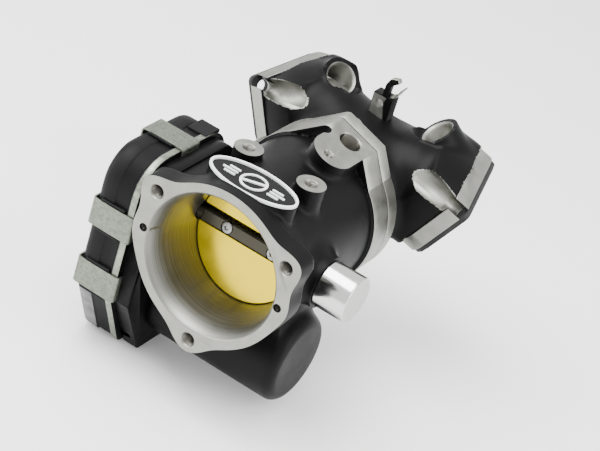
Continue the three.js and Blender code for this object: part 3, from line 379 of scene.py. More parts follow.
def separate(value, step):
    """Fills the grid squares whose inside corners are only the two ends of a diagonal, so that no
    edge of the skin has four faces."""
    changed = True
    while changed:
        changed = False
        for axis in range(3):
            b, c = (axis + 1) % 3, (axis + 2) % 3
            views = []
            for db in (0, 1):
                for dc in (0, 1):
                    part = [slice(None)] * 3
                    part[b] = slice(db, value.shape[b] - 1 + db)
                    part[c] = slice(dc, value.shape[c] - 1 + dc)
                    views.append(value[tuple(part)])
            p, q, r, s = (view < 0 for view in views)
            for clash, empty in ((p & s & ~q & ~r, 1), (q & r & ~p & ~s, 0)):
                if clash.any():
                    views[empty][clash] = -0.05 * step
                    changed = True
    return value


def skin(field, low, step):
    """Surface net of field = 0: each grid cell that the surface crosses holds one point, the mean
    of the crossings of its 12 edges, and each crossed grid edge is a face between its 4 cells."""
    inside = field < 0
    corner = sum(inside[i:inside.shape[0] - 1 + i, j:inside.shape[1] - 1 + j, k:inside.shape[2] - 1 + k]
                 .astype(np.int8) for i in (0, 1) for j in (0, 1) for k in (0, 1))
    cell = np.argwhere((corner > 0) & (corner < 8))
    number = np.full(corner.shape, -1, np.int32)
    number[tuple(cell.T)] = np.arange(len(cell))
    total, count = np.zeros((len(cell), 3)), np.zeros(len(cell))
    for axis in range(3):
        for p in (0, 1):
            for q in (0, 1):
                start = np.insert([p, q], axis, 0)
                end = np.insert([p, q], axis, 1)
                f0 = field[tuple((cell + start).T)].astype(float)
                f1 = field[tuple((cell + end).T)].astype(float)
                crossed = (f0 < 0) != (f1 < 0)
                t = np.where(crossed, f0 / np.where(crossed, f0 - f1, 1), 0)
                total += np.where(crossed[:, None], start + t[:, None] * (end - start), 0)
                count += crossed
    points = np.array(low) + step * (cell + total / count[:, None])
    quads = []
    for axis in range(3):
        here = [slice(None)] * 3
        ahead = [slice(None)] * 3
        here[axis], ahead[axis] = slice(0, -1), slice(1, None)
        start, change = inside[tuple(here)], inside[tuple(here)] != inside[tuple(ahead)]
        edge = np.argwhere(change)
        b, c = (axis + 1) % 3, (axis + 2) % 3
        edge = edge[(edge[:, b] > 0) & (edge[:, c] > 0)
                    & (edge[:, b] < inside.shape[b] - 1) & (edge[:, c] < inside.shape[c] - 1)]
        corners = []
        for db, dc in ((-1, -1), (0, -1), (0, 0), (-1, 0)):
            at = edge.copy()
            at[:, b] += db
            at[:, c] += dc
            corners.append(number[tuple(at.T)])
        quad = np.stack(corners, axis=1)
        flip = ~start[tuple(edge.T)]
        quad[flip] = quad[flip][:, ::-1]
        quads.append(quad)
    return points, np.vstack(quads)


def cast(name, low, high, step, field):
    """Samples the field on a grid between two corners, with the grid's border held outside, and
    links its skin."""
    axes = [np.arange(a, b + step, step, dtype=np.float32) for a, b in zip(low, high)]
    x, y, z = axes[0][:, None, None], axes[1][None, :, None], axes[2][None, None, :]
    value = np.ascontiguousarray(field(x, y, z))
    for axis in range(3):
        border = [slice(None)] * 3
        for end in (0, -1):
            border[axis] = end
            value[tuple(border)] = np.maximum(value[tuple(border)], step)
    return link_quads(name, *skin(separate(value, step), low, step))


# ---- outlines shared by several pieces ----

def flange_radius(angle):
    """Inlet flange: 41 mm plus a bell-shaped lobe at each bolt and each locating hole."""
    radius = 41.0
    for at, height, width in FLANGE_LOBES:
        off = (angle - at + 180) % 360 - 180
        radius = radius + height * np.exp(-(off / width) ** 2)
    return radius


def case_corners(amount=0.0, drop=0.0):
    """Corners (y, z, radius) of the gear case, moved in by an amount."""
    rear = 2 * SHAFT_Y - 2.5
    return inset([(20 + drop, -82 - drop, 5), (rear - 17.5 - drop, -82 - drop, 5), (rear, -50, 6),
                  (rear, 27.5, 18), (2.5, 27.5, 18), (2.5, -50, 6)], amount)


def oval(amount, facets=160):
    """Ellipse of the badge moved in by an amount."""
    t = np.linspace(0, 2 * np.pi, facets, endpoint=False)
    return np.stack([(BADGE[0] - amount) * np.cos(t), BADGE[2] + (BADGE[1] - amount) * np.sin(t)], axis=1)


def pad_point(across, height):
    c, s = math.cos(PAD_TILT), math.sin(PAD_TILT)
    return across * c + height * s, -across * s + height * c


PAD_BASIS = np.array([[math.cos(PAD_TILT), 0, -math.sin(PAD_TILT)], [0, 1, 0],
                      [math.sin(PAD_TILT), 0, math.cos(PAD_TILT)]])
PLATE_BASIS = np.array([[1, 0, 0], [0, math.sin(CLOSED_TILT), math.cos(CLOSED_TILT)],
                        [0, -math.cos(CLOSED_TILT), math.sin(CLOSED_TILT)]])


def polar(radius, degrees):
    return radius * math.cos(math.radians(degrees)), radius * math.sin(math.radians(degrees))


def flange_steps(low, high, facets):
    """The round joint flange with its shoulder and screw ears, as solids to join."""
    shoulder = rounded([(-20, 0), (20, 0), polar(REAR_FLANGE_R, 42), (*pad_point(8.1, PAD_TOP), 0.8),
                        (*pad_point(-16.7, PAD_TOP), 4), polar(REAR_FLANGE_R, 136)])
    # the basis puts z before x, so the outline's two numbers change places
    shapes = [drum(REAR_FLANGE_R, low, high, facets, "y"), prism(shoulder[:, ::-1], low, high, "y")]
    for radius, angle in JOINT_SCREWS[1:]:
        x, z = polar(radius, angle)
        shapes.append(drum(6.6, low, high, 48, "y", (x, 0, z)))
    return [("UNION", shape, 0.35) for shape in shapes]


def port_frame(side):
    """Corner, u (rearwards), v (down) and w (outwards) of a head flange."""
    w = np.array([side * math.cos(PORT_BACK) * math.cos(PORT_DOWN),
                  math.sin(PORT_BACK) * math.cos(PORT_DOWN), -math.sin(PORT_DOWN)])
    u = np.array([0, 1, 0]) - w * w[1]
    u /= np.linalg.norm(u)
    v = side * np.cross(u, w)

    def about(vector, axis, angle):
        return (vector * math.cos(angle) + np.cross(axis, vector) * math.sin(angle)
                + axis * (axis @ vector) * (1 - math.cos(angle)))

    u, v = about(u, w, side * PORT_SPIN), about(v, w, side * PORT_SPIN)
    corner = np.array([side * PORT_CORNER[0], PORT_CORNER[1], PORT_CORNER[2]])
    y_axis = np.array([0.0, 1.0, 0.0])
    return tuple(about(a, y_axis, HEAD_ROLL) for a in (corner, u, v, w))


def port_outline(amount=0.0, steps=8):
    return rounded(inset([(0, 0, 4), (PORT_U, 0, 14), (PORT_U, PORT_V, 5), (0, PORT_V, 17)], amount), steps)


def injector(side):
    """Mouth centre and a basis whose w points down the injector bore."""
    w = -np.array([side * INJECTOR_AXIS[0], INJECTOR_AXIS[1], INJECTOR_AXIS[2]])
    w /= np.linalg.norm(w)
    u = np.array([0, 1, 0]) - w * w[1]
    u /= np.linalg.norm(u)
    return np.array([side * INJECTOR_MOUTH[0], INJECTOR_MOUTH[1], INJECTOR_MOUTH[2]]), \
        np.array([u, np.cross(w, u), w])


def tapped(radius, basis, centre, at, depth, inwards):
    """Hole with a countersunk mouth and a drill point."""
    rows = [(0, -1), (radius + 0.8, -1), (radius + 0.8, 0), (radius, 0.8), (radius, depth),
            (0, depth + radius * 0.5)]
    return lathe([(r, at + inwards * s) for r, s in rows], 48, basis, centre)


# ---- finishes ----

def group(name, inputs, outputs, build):
    """A shader node group with the given sockets, filled in by build."""
    tree = bpy.data.node_groups.new(name, "ShaderNodeTree")
    for socket, kind, default in inputs:
        item = tree.interface.new_socket(socket, in_out="INPUT", socket_type=kind)
        if default is not None:
            item.default_value = default
    for socket, kind in outputs:
        tree.interface.new_socket(socket, in_out="OUTPUT", socket_type=kind)
    build(tree, tree.nodes.new("NodeGroupInput"), tree.nodes.new("NodeGroupOutput"))
    return tree


def node(tree, kind, **values):
    """A node with its settings and the defaults of its named or numbered inputs."""
    made = tree.nodes.new(kind)
    for key, value in values.items():
        if key == "inputs":
            for socket, default in value.items():
                made.inputs[socket].default_value = default
        else:
            setattr(made, key, value)
    return made


def build_grain(tree, inn, out):
    """Fine and broad noise: Fine is the height of the skin, Broad drifts over the piece."""
    coord = node(tree, "ShaderNodeTexCoord")
    fine = node(tree, "ShaderNodeTexNoise", inputs={"Detail": 3.0, "Roughness": 0.6})
    broad = node(tree, "ShaderNodeTexNoise", inputs={"Detail": 4.0, "Roughness": 0.55})
    tree.links.new(coord.outputs["Object"], fine.inputs["Vector"])
    tree.links.new(coord.outputs["Object"], broad.inputs["Vector"])
    tree.links.new(inn.outputs["Fine scale"], fine.inputs["Scale"])
    tree.links.new(inn.outputs["Broad scale"], broad.inputs["Scale"])
    tree.links.new(fine.outputs["Fac"], out.inputs["Fine"])
    tree.links.new(broad.outputs["Fac"], out.inputs["Broad"])


def build_rings(tree, inn, out):
    """Turning marks: waves of the distance from an axis through Centre, plus of the place along
    it, broken up by noise. Axis (0, 1, 0) is the bore."""
    coord = node(tree, "ShaderNodeTexCoord")
    off = node(tree, "ShaderNodeVectorMath", operation="SUBTRACT")
    tree.links.new(coord.outputs["Object"], off.inputs[0])
    tree.links.new(inn.outputs["Centre"], off.inputs[1])
    across = node(tree, "ShaderNodeVectorMath", operation="CROSS_PRODUCT")
    tree.links.new(off.outputs[0], across.inputs[0])
    tree.links.new(inn.outputs["Axis"], across.inputs[1])
    radius = node(tree, "ShaderNodeVectorMath", operation="LENGTH")
    tree.links.new(across.outputs[0], radius.inputs[0])
    along = node(tree, "ShaderNodeVectorMath", operation="DOT_PRODUCT")
    tree.links.new(off.outputs[0], along.inputs[0])
    tree.links.new(inn.outputs["Axis"], along.inputs[1])
    both = node(tree, "ShaderNodeMath", operation="ADD")
    tree.links.new(radius.outputs["Value"], both.inputs[0])
    tree.links.new(along.outputs["Value"], both.inputs[1])
    wobble = node(tree, "ShaderNodeTexNoise", noise_dimensions="1D", inputs={"Detail": 2.0})
    tree.links.new(both.outputs[0], wobble.inputs["W"])
    tree.links.new(inn.outputs["Scale"], wobble.inputs["Scale"])
    tree.links.new(wobble.outputs["Fac"], out.inputs["Height"])


def build_specks(tree, inn, out):
    """Crystals and dark pits: cell colours of a broad Voronoi pattern, and points of a fine noise
    above a threshold."""
    coord = node(tree, "ShaderNodeTexCoord")
    cells = node(tree, "ShaderNodeTexVoronoi", feature="F1")
    tree.links.new(coord.outputs["Object"], cells.inputs["Vector"])
    tree.links.new(inn.outputs["Cell scale"], cells.inputs["Scale"])
    grey = node(tree, "ShaderNodeSeparateColor")
    tree.links.new(cells.outputs["Color"], grey.inputs[0])
    noise = node(tree, "ShaderNodeTexNoise", inputs={"Detail": 1.0})
    tree.links.new(coord.outputs["Object"], noise.inputs["Vector"])
    tree.links.new(inn.outputs["Pit scale"], noise.inputs["Scale"])
    pits = node(tree, "ShaderNodeMapRange", inputs={"From Min": 0.66, "From Max": 0.72})
    tree.links.new(noise.outputs["Fac"], pits.inputs["Value"])
    tree.links.new(grey.outputs[0], out.inputs["Cells"])
    tree.links.new(pits.outputs[0], out.inputs["Pits"])


def build_brushing(tree, inn, out):
    """Brush strokes: noise squeezed by Stretch so that it runs in lines."""
    coord = node(tree, "ShaderNodeTexCoord")
    scaled = node(tree, "ShaderNodeVectorMath", operation="MULTIPLY")
    tree.links.new(coord.outputs["Object"], scaled.inputs[0])
    tree.links.new(inn.outputs["Stretch"], scaled.inputs[1])
    noise = node(tree, "ShaderNodeTexNoise", inputs={"Scale": 1.0, "Detail": 2.0})
    tree.links.new(scaled.outputs[0], noise.inputs["Vector"])
    tree.links.new(noise.outputs["Fac"], out.inputs["Strokes"])


def make_groups():
    return {
        "grain": group("skin_grain", [("Fine scale", "NodeSocketFloat", 2500.0),
                                      ("Broad scale", "NodeSocketFloat", 60.0)],
                       [("Fine", "NodeSocketFloat"), ("Broad", "NodeSocketFloat")], build_grain),
        "rings": group("turning_marks", [("Centre", "NodeSocketVector", (0, 0, 0)),
                                         ("Axis", "NodeSocketVector", (0, 1, 0)),
                                         ("Scale", "NodeSocketFloat", 3000.0)],
                       [("Height", "NodeSocketFloat")], build_rings),
        "specks": group("crystals_and_pits", [("Cell scale", "NodeSocketFloat", 500.0),
                                              ("Pit scale", "NodeSocketFloat", 900.0)],
                        [("Cells", "NodeSocketFloat"), ("Pits", "NodeSocketFloat")], build_specks),
        "brushing": group("brush_strokes", [("Stretch", "NodeSocketVector", (4000, 60, 4000))],
                          [("Strokes", "NodeSocketFloat")], build_brushing),
    }


class Finish:
    """Builds one material: a Principled shader fed by the shared groups."""

    def __init__(self, name, groups, colour, rough, metal, **sockets):
        self.material = bpy.data.materials.new(name)
        self.material.use_nodes = True
        self.tree = self.material.node_tree
        self.tree.nodes.clear()
        self.groups = groups
        self.shader = node(self.tree, "ShaderNodeBsdfPrincipled",
                           inputs={"Base Color": (*colour, 1.0), "Roughness": rough, "Metallic": metal,
                                   **{k.replace("_", " "): v for k, v in sockets.items()}})
        end = node(self.tree, "ShaderNodeOutputMaterial")
        self.tree.links.new(self.shader.outputs[0], end.inputs["Surface"])
        self.last_bump = None

    def use(self, key, **inputs):
        made = self.tree.nodes.new("ShaderNodeGroup")
        made.node_tree = self.groups[key]
        for socket, value in inputs.items():
            made.inputs[socket.replace("_", " ")].default_value = value
        return made

    def vary_rough(self, source, low, high, start=0.3, end=0.7):
        """Roughness between two values as a mask goes from start to end."""
        span = node(self.tree, "ShaderNodeMapRange", inputs={
            "From Min": start, "From Max": end, "To Min": low, "To Max": high})
        self.tree.links.new(source, span.inputs["Value"])
        self.tree.links.new(span.outputs[0], self.shader.inputs["Roughness"])

    def vary_colour(self, source, low, high, start=0.3, end=0.7):
        """Base colour between two colours as a mask goes from start to end."""
        span = node(self.tree, "ShaderNodeMapRange", inputs={"From Min": start, "From Max": end})
        mix = node(self.tree, "ShaderNodeMix", data_type="RGBA")
        mix.inputs["A"].default_value, mix.inputs["B"].default_value = (*low, 1), (*high, 1)
        self.tree.links.new(source, span.inputs["Value"])
        self.tree.links.new(span.outputs[0], mix.inputs["Factor"])
        self.tree.links.new(mix.outputs["Result"], self.shader.inputs["Base Color"])
        return mix

    def bump(self, source, distance, strength=1.0):
        """Adds a bump of a real height in millimetres, on top of earlier ones."""
        made = node(self.tree, "ShaderNodeBump", inputs={"Strength": strength, "Distance": distance / 1000})
        self.tree.links.new(source, made.inputs["Height"])
        if self.last_bump:
            self.tree.links.new(self.last_bump.outputs[0], made.inputs["Normal"])
        self.tree.links.new(made.outputs[0], self.shader.inputs["Normal"])
        self.last_bump = made


def tint(colour, factor):
    return tuple(min(1.0, c * factor) for c in colour)


def make_finishes(colours):
    """Every material by name."""
    groups = make_groups()
    bore_centre = tuple(ORIGIN / 1000)
    cap_centre = tuple((ORIGIN + np.array([0, SHAFT_Y, 0])) / 1000)
    made = {}

    f = Finish("black_anodised_casting", groups, colours.anodise, 0.42, 0.0, Specular_IOR_Level=0.09)
    g = f.use("grain", Fine_scale=2200.0, Broad_scale=45.0)
    f.vary_rough(g.outputs["Broad"], 0.36, 0.48)
    f.vary_colour(g.outputs["Fine"], tint(colours.anodise, 0.7), tint(colours.anodise, 1.5))
    f.bump(g.outputs["Fine"], 0.035)
    made["casting"] = f.material

    f = Finish("machined_face", groups, colours.bare, 0.38, 1.0)
    g = f.use("grain", Fine_scale=1500.0, Broad_scale=120.0)
    b = f.use("brushing", Stretch=(900.0, 300.0, 5200.0))
    f.vary_rough(g.outputs["Broad"], 0.40, 0.52)
    f.vary_colour(g.outputs["Broad"], tint(colours.bare, 0.82), tint(colours.bare, 1.12))
    f.bump(b.outputs["Strokes"], 0.006)
    f.bump(g.outputs["Fine"], 0.006)
    made["machined"] = f.material

    f = Finish("turned_bore", groups, colours.bare, 0.4, 1.0)
    r = f.use("rings", Centre=bore_centre, Axis=(0.0, 1.0, 0.0), Scale=1500.0)
    g = f.use("grain", Fine_scale=1200.0, Broad_scale=70.0)
    f.vary_rough(g.outputs["Broad"], 0.38, 0.46)
    f.vary_colour(r.outputs["Height"], tint(colours.bare, 0.8), tint(colours.bare, 1.2))
    f.bump(r.outputs["Height"], 0.05)
    made["bore"] = f.material

    f = Finish("bright_plate", groups, colours.plate, 0.2, 1.0)
    g = f.use("grain", Fine_scale=1800.0, Broad_scale=80.0)
    b = f.use("brushing", Stretch=(3500.0, 200.0, 160.0))
    f.vary_rough(g.outputs["Broad"], 0.16, 0.3)
    f.vary_colour(g.outputs["Broad"], tint(colours.plate, 0.9), tint(colours.plate, 1.12))
    f.bump(b.outputs["Strokes"], 0.004)
    made["plate"] = f.material

    f = Finish("dark_ground_shaft", groups, (0.045, 0.042, 0.032), 0.2, 1.0)
    b = f.use("brushing", Stretch=(120.0, 4500.0, 4500.0))
    g = f.use("grain", Fine_scale=1500.0, Broad_scale=90.0)
    f.vary_rough(g.outputs["Broad"], 0.16, 0.3)
    f.bump(b.outputs["Strokes"], 0.004)
    made["shaft"] = f.material

    f = Finish("polished_cap", groups, (0.58, 0.58, 0.57), 0.13, 1.0)
    r = f.use("rings", Centre=cap_centre, Axis=(1.0, 0.0, 0.0), Scale=2400.0)
    g = f.use("grain", Fine_scale=1500.0, Broad_scale=70.0)
    f.vary_rough(g.outputs["Broad"], 0.1, 0.2)
    f.bump(r.outputs["Height"], 0.006)
    made["polished"] = f.material

    f = Finish("brushed_end", groups, (0.42, 0.42, 0.41), 0.34, 1.0)
    b = f.use("brushing", Stretch=(300.0, 260.0, 6000.0))
    f.vary_colour(b.outputs["Strokes"], (0.34, 0.34, 0.33), (0.52, 0.52, 0.51))
    f.bump(b.outputs["Strokes"], 0.012)
    made["brushed"] = f.material

    f = Finish("galvanised_sheet", groups, colours.clip, 0.45, 0.85)
    s = f.use("specks", Cell_scale=700.0, Pit_scale=1100.0)
    g = f.use("grain", Fine_scale=1500.0, Broad_scale=150.0)
    mixed = f.vary_colour(s.outputs["Cells"], tint(colours.clip, 0.85), tint(colours.clip, 1.15), 0.0, 1.0)
    pits = node(f.tree, "ShaderNodeMix", data_type="RGBA")
    pits.inputs["B"].default_value = (*tint(colours.clip, 0.25), 1)
    f.tree.links.new(s.outputs["Pits"], pits.inputs["Factor"])
    f.tree.links.new(mixed.outputs["Result"], pits.inputs["A"])
    f.tree.links.new(pits.outputs["Result"], f.shader.inputs["Base Color"])
    f.vary_rough(g.outputs["Broad"], 0.36, 0.55)
    f.bump(s.outputs["Pits"], -0.02)
    made["zinc"] = f.material

    f = Finish("moulded_cover", groups, colours.cover, 0.48, 0.0, Specular_IOR_Level=0.11)
    g = f.use("grain", Fine_scale=1700.0, Broad_scale=55.0)
    f.vary_rough(g.outputs["Broad"], 0.4, 0.6)
    f.vary_colour(g.outputs["Broad"], tint(colours.cover, 0.8), tint(colours.cover, 1.8))
    f.bump(g.outputs["Fine"], 0.03)
    made["cover"] = f.material

    f = Finish("worn_cover_edge", groups, (0.10, 0.10, 0.098), 0.55, 0.0)
    g = f.use("grain", Fine_scale=1500.0, Broad_scale=200.0)
    f.vary_colour(g.outputs["Broad"], (0.06, 0.06, 0.06), (0.15, 0.15, 0.148))
    f.bump(g.outputs["Fine"], 0.02)
    made["worn"] = f.material

    f = Finish("raw_housing_edge", groups, (0.22, 0.24, 0.19), 0.42, 0.9)
    s = f.use("specks", Cell_scale=500.0, Pit_scale=1300.0)
    f.vary_colour(s.outputs["Cells"], (0.17, 0.19, 0.15), (0.27, 0.29, 0.24), 0.0, 1.0)
    f.bump(s.outputs["Pits"], -0.02)
    made["raw"] = f.material

    f = Finish("painted_badge", groups, (0.003, 0.003, 0.0033), 0.35, 0.0, Specular_IOR_Level=0.12)
    g = f.use("grain", Fine_scale=1500.0, Broad_scale=100.0)
    f.vary_rough(g.outputs["Broad"], 0.28, 0.42)
    f.bump(g.outputs["Fine"], 0.01)
    made["badge"] = f.material

    f = Finish("white_ring", groups, colours.ring, 0.3, 0.0)
    g = f.use("grain", Fine_scale=1500.0, Broad_scale=200.0)
    f.vary_colour(g.outputs["Broad"], tint(colours.ring, 0.9), tint(colours.ring, 1.08))
    f.vary_rough(g.outputs["Broad"], 0.25, 0.4)
    made["ring"] = f.material

    for name, colour, rough, metal, height in (
            ("plain_steel", (0.30, 0.30, 0.29), 0.32, 1.0, 0.006),
            ("black_rubber", (0.012, 0.012, 0.012), 0.75, 0.0, 0.02),
            ("flat_gasket", (0.010, 0.010, 0.010), 0.85, 0.0, 0.03),
            ("moulded_nylon", (0.66, 0.63, 0.52), 0.45, 0.0, 0.012),
            ("solder_mask", (0.03, 0.14, 0.06), 0.35, 0.0, 0.004),
            ("sintered_magnet", (0.05, 0.05, 0.055), 0.5, 0.6, 0.02),
            ("plated_pin", (0.83, 0.62, 0.28), 0.25, 1.0, 0.003),
            # darker bare metal for threads and hole walls: painted shade for the depth of the holes
            ("hole_metal_painted_shade", (0.13, 0.125, 0.11), 0.38, 1.0, 0.004)):
        f = Finish(name, groups, colour, rough, metal)
        g = f.use("grain", Fine_scale=1600.0, Broad_scale=130.0)
        f.vary_rough(g.outputs["Broad"], rough * 0.8, min(1.0, rough * 1.25))
        f.vary_colour(g.outputs["Broad"], tint(colour, 0.85), tint(colour, 1.15))
        f.bump(g.outputs["Fine"], height)
        made[name] = f.material
    return made


FINISHES = {}


def finish(name):
    if not FINISHES:
        FINISHES.update(make_finishes(bpy.context.scene.throttle_finish))
    return FINISHES[name]


# ---- throttle body casting ----

def housing_field(k):
    """Distance outside the housing: barrel, inlet flange, badge and top bosses, sensor pad, shaft
    boss, motor tube, its web and the saddle to the gear case, each melted into the next."""
    def field(x, y, z):
        r = np.hypot(x, z)
        barrel = np.maximum(r - (37 + 2.2 * ramp(y, 27, 11) + 0.012 * y), slab(y, 2, 97))
        angle = np.degrees(np.arctan2(z, x))
        flange = round_rim(r - flange_radius(angle), slab(y, -4, 12.5), 1.6)
        value = union(barrel, flange, 5.0)
        out = np.hypot(y - SHAFT_Y, z)
        boss = round_rim(out - (16.5 - 2.9 * ramp(x, 26, 42)), slab(x, 12, 46), 0.5)
        value = union(value, boss, 4.5)
        motor = np.hypot(y - MOTOR[0], z - MOTOR[1])
        tube = round_rim(motor - TUBE_R, slab(x, -40, TUBE_END), 5.5)
        web = np.maximum(np.maximum(slab(x, -40, 30), slab(y, 31, 61)), slab(z, -52, -24))
        value = union(value, union(tube, web, 6.0), 6.0)
        saddle = np.maximum(convex(y, z, [(8, -34), (66, -38), (66, 14), (52, 24), (12, 24), (8, 14)], 3.0),
                            slab(x, -41, -22))
        value = union(value, saddle, 7.0)
        ellipse = (np.sqrt((x / BADGE[0]) ** 2 + ((y - BADGE[2]) / BADGE[1]) ** 2) - 1) * 15
        value = union(value, np.maximum(ellipse, slab(z, 20, 44)), 1.6)
        top = np.hypot(np.abs(x) - BOSS_X, y - BOSS_Y)
        value = union(value, np.maximum(top - BOSS_R, slab(z, 20, 44)), k)
        c, s = math.cos(PAD_TILT), math.sin(PAD_TILT)
        across, height = x * c - z * s, x * s + z * c
        nose = np.hypot(across - PAD_MIDDLE, y - PAD_NOSE_Y) - PAD_NOSE_R
        straight = np.maximum(slab(across, PAD_MIDDLE - PAD_NOSE_R, 7.9), slab(y, PAD_NOSE_Y, 90))
        pad = np.maximum(np.minimum(nose, straight), slab(height, 20, 48))
        value = union(value, pad, k)
        relief = np.maximum(np.hypot(across - (PAD_MIDDLE - PAD_NOSE_R - 2.2), y - REAR_FLANGE_Y + 3) - 4,
                            38.6 - height)
        return without(value, relief, 1.2)
    return field


class THROTTLE_OT_housing(bpy.types.Operator):
    """Cast throttle body with its machined faces, bore, holes and gear case pan"""
    bl_idname = "throttle.housing"
    bl_label = "Throttle body casting"

    def execute(self, context):
        cast_set = context.scene.throttle_casting
        n = cast_set.facets
        obj = cast("housing", (-47, -6, -82), (50, 100, 52), cast_set.step * 1000,
                   housing_field(cast_set.fillet * 1000))
        shaft = (0, SHAFT_Y, 0)
        motor = (0, *MOTOR)
        steps = [("UNION", prism(rounded(case_corners(2.2, 5)), CASE_FLANGE - 0.2, PAN_BACK, "x"), 0.6),
                 ("UNION", prism(rounded(case_corners(-0.4)), CASE_SPLIT, CASE_FLANGE, "x"), 0.25)]
        steps += flange_steps(REAR_FLANGE_Y, JOINT_Y, n)
        cut = [box((-80, -20, -60), (80, 0, 80)),
               lathe([(0, 42.7), (24, 42.7), (24, 52), (0, 52)], 64, "x", shaft),
               prism(oval(-0.5), BADGE[3] - 1.6, 60, "z"),
               prism(oval(1.0), BADGE[3] - 2.9, BADGE[3], "z"),
               drum(10, BOSS_TOP, 60, 48, "z", (BOSS_X, BOSS_Y, 0)),
               drum(10, BOSS_TOP, 60, 48, "z", (-BOSS_X, BOSS_Y, 0)),
               prism([(-40, 55), (20, 55), (20, 120), (-40, 120)], PAD_TOP, 70, PAD_BASIS),
               prism(rounded(case_corners(3.6)), CASE_SPLIT - 1, PAN_FLOOR, "x"),
               drum(19.1, PAN_FLOOR - 1, TUBE_END - 4.5, 64, "x", motor)]
        steps += [("DIFFERENCE", shape, 0) for shape in cut]
        steps.append(("UNION", drum(10.6, -44, PAN_FLOOR + 1, 64, "x", shaft), 0))
        pad = ((math.cos(PAD_TILT) * PAD_MIDDLE, SENSOR_PORT_Y, -math.sin(PAD_TILT) * PAD_MIDDLE),
               (math.cos(PAD_TILT) * (PAD_MIDDLE - SENSOR_SCREW_SHIFT), SENSOR_SCREW_Y,
                -math.sin(PAD_TILT) * (PAD_MIDDLE - SENSOR_SCREW_SHIFT)))
        cut = [lathe([(0, -1), (MOUTH_R + 1.3, -1), (MOUTH_R + 1.05, 0), (MOUTH_R + 0.1, 0.8),
                      (MOUTH_R - 2.6, 11), (BORE_R, TAPER_END), (BORE_R, JOINT_Y + 1), (0, JOINT_Y + 1)],
                     n, "y"),
               drum(SHAFT_R + 0.3, -60, CAP_START + 1, 64, "x", shaft),
               drum(9.3, -55, -36, 64, "x", shaft),
               drum(7.3, 34.8, CAP_START + 1, 64, "x", shaft),
               drum(2.8, -47, -39.5, 32, "x", (0, *IDLER)),
               lathe([(0, PAD_TOP + 1), (6.5, PAD_TOP + 1), (6.3, PAD_TOP), (5.7, PAD_TOP - 0.6), (5.7, 36),
                      (3.2, 34), (3.2, 28), (0, 28)], 64, PAD_BASIS, pad[0]),
               tapped(2.0, PAD_BASIS, pad[1], PAD_TOP, 10, -1),
               lathe([(32.6, JOINT_Y - 1.6), (35.4, JOINT_Y - 1.6), (35.4, JOINT_Y + 0.5),
                      (32.6, JOINT_Y + 0.5), (32.6, JOINT_Y - 1.6)], n, "y")]
        for angle in INLET_BOLTS:
            x, z = polar(INLET_BOLT_R, angle)
            cut.append(tapped(3.2, "y", (x, 0, z), 0, 11, 1))
        for side in (-1, 1):
            cut.append(tapped(LOCATING_HOLE_R, "y", (side * LOCATING_HOLE_X, 0, 0), 0, 6, 1))
            cut.append(tapped(2.8, "z", (side * BOSS_X, BOSS_Y, 0), BOSS_TOP, 5.4, -1))
        for radius, angle in JOINT_SCREWS:
            x, z = polar(radius, angle)
            cut.append(drum(2.6, REAR_FLANGE_Y + 2, JOINT_Y + 1, 32, "y", (x, 0, z)))
        for angle in (50, 230):
            y, z = polar(21, angle)
            cut.append(drum(1.6, -42, -38.6, 24, "x", (0, MOTOR[0] + y, MOTOR[1] + z)))
        steps += [("DIFFERENCE", shape, 0) for shape in cut]
        machine(obj, steps)
        shade(obj)
        p, normal = faces_of(obj)
        r = np.hypot(p[:, 0], p[:, 2])
        inwards = (p[:, 0] * normal[:, 0] + p[:, 2] * normal[:, 2]) < 0
        height = p[:, 0] * math.sin(PAD_TILT) + p[:, 2] * math.cos(PAD_TILT)
        across = p[:, 0] * math.cos(PAD_TILT) - p[:, 2] * math.sin(PAD_TILT)
        slot = np.zeros(len(p), int)
        slot[(p[:, 1] < 0.03) & (normal[:, 1] < -0.9)] = 1
        slot[(p[:, 1] > JOINT_Y - 0.03)] = 1
        slot[(p[:, 2] > BOSS_TOP - 0.03) & (normal[:, 2] > 0.9) & (p[:, 1] > 33)] = 1
        slot[(height > PAD_TOP - 0.03) & (p[:, 1] > 60)] = 1
        rim = (p[:, 1] > REAR_FLANGE_Y - 0.05) & (np.abs(normal[:, 1]) < 0.8) & (r > 38.5)
        beside_pad = (across > 7.2) | (r < 43) | (across < -13.6) | (p[:, 1] > 96)
        slot[rim & (height < PAD_TOP + 0.1) & beside_pad] = 1
        # Slot 4 paints hole walls below their first 0.8 mm or so a darker metal: painted shade for the depth
        # of the holes.
        for x, y in ((BOSS_X, BOSS_Y), (-BOSS_X, BOSS_Y)):
            off = np.hypot(p[:, 0] - x, p[:, 1] - y)
            slot[(off < 3.8) & (p[:, 2] > 30)] = 1
            slot[(off < 3.0) & (p[:, 2] > 30) & (p[:, 2] < BOSS_TOP - 0.8)] = 4
        for angle in INLET_BOLTS:
            x, z = polar(INLET_BOLT_R, angle)
            off = np.hypot(p[:, 0] - x, p[:, 2] - z)
            slot[(off < 4.2) & (p[:, 1] < 13)] = 1
            slot[(off < 3.4) & (p[:, 1] < 15) & (p[:, 1] > 0.8)] = 4
        for y, hole, rim_depth in ((SENSOR_PORT_Y, 6.7, 0.7), (SENSOR_SCREW_Y, 2.9, 0.8)):
            off = np.hypot(across - PAD_MIDDLE + (0.3 if y < 80 else 0), p[:, 1] - y)
            slot[(off < hole) & (height > 27.5)] = 1
            slot[(off < hole - 0.6) & (height > 27) & (height < PAD_TOP - rim_depth)] = 4
        slot[(np.abs(np.abs(p[:, 0]) - LOCATING_HOLE_X) < 2.3) & (np.abs(p[:, 2]) < 2.3) & (p[:, 1] > 0.8)
             & (p[:, 1] < 8)] = 4
        slot[(r < MOUTH_R + 1.4) & inwards & (p[:, 1] > 0) & (p[:, 1] < JOINT_Y)
             & (r > BORE_R - 0.3)] = 2
        slot[(p[:, 0] < CASE_FLANGE + 0.02) & (p[:, 0] > CASE_SPLIT + 0.02)
             & (np.abs(normal[:, 0]) < 0.95)] = 3
        paint(obj, [finish("casting"), finish("machined"), finish("bore"), finish("raw"),
                    finish("hole_metal_painted_shade")], slot)
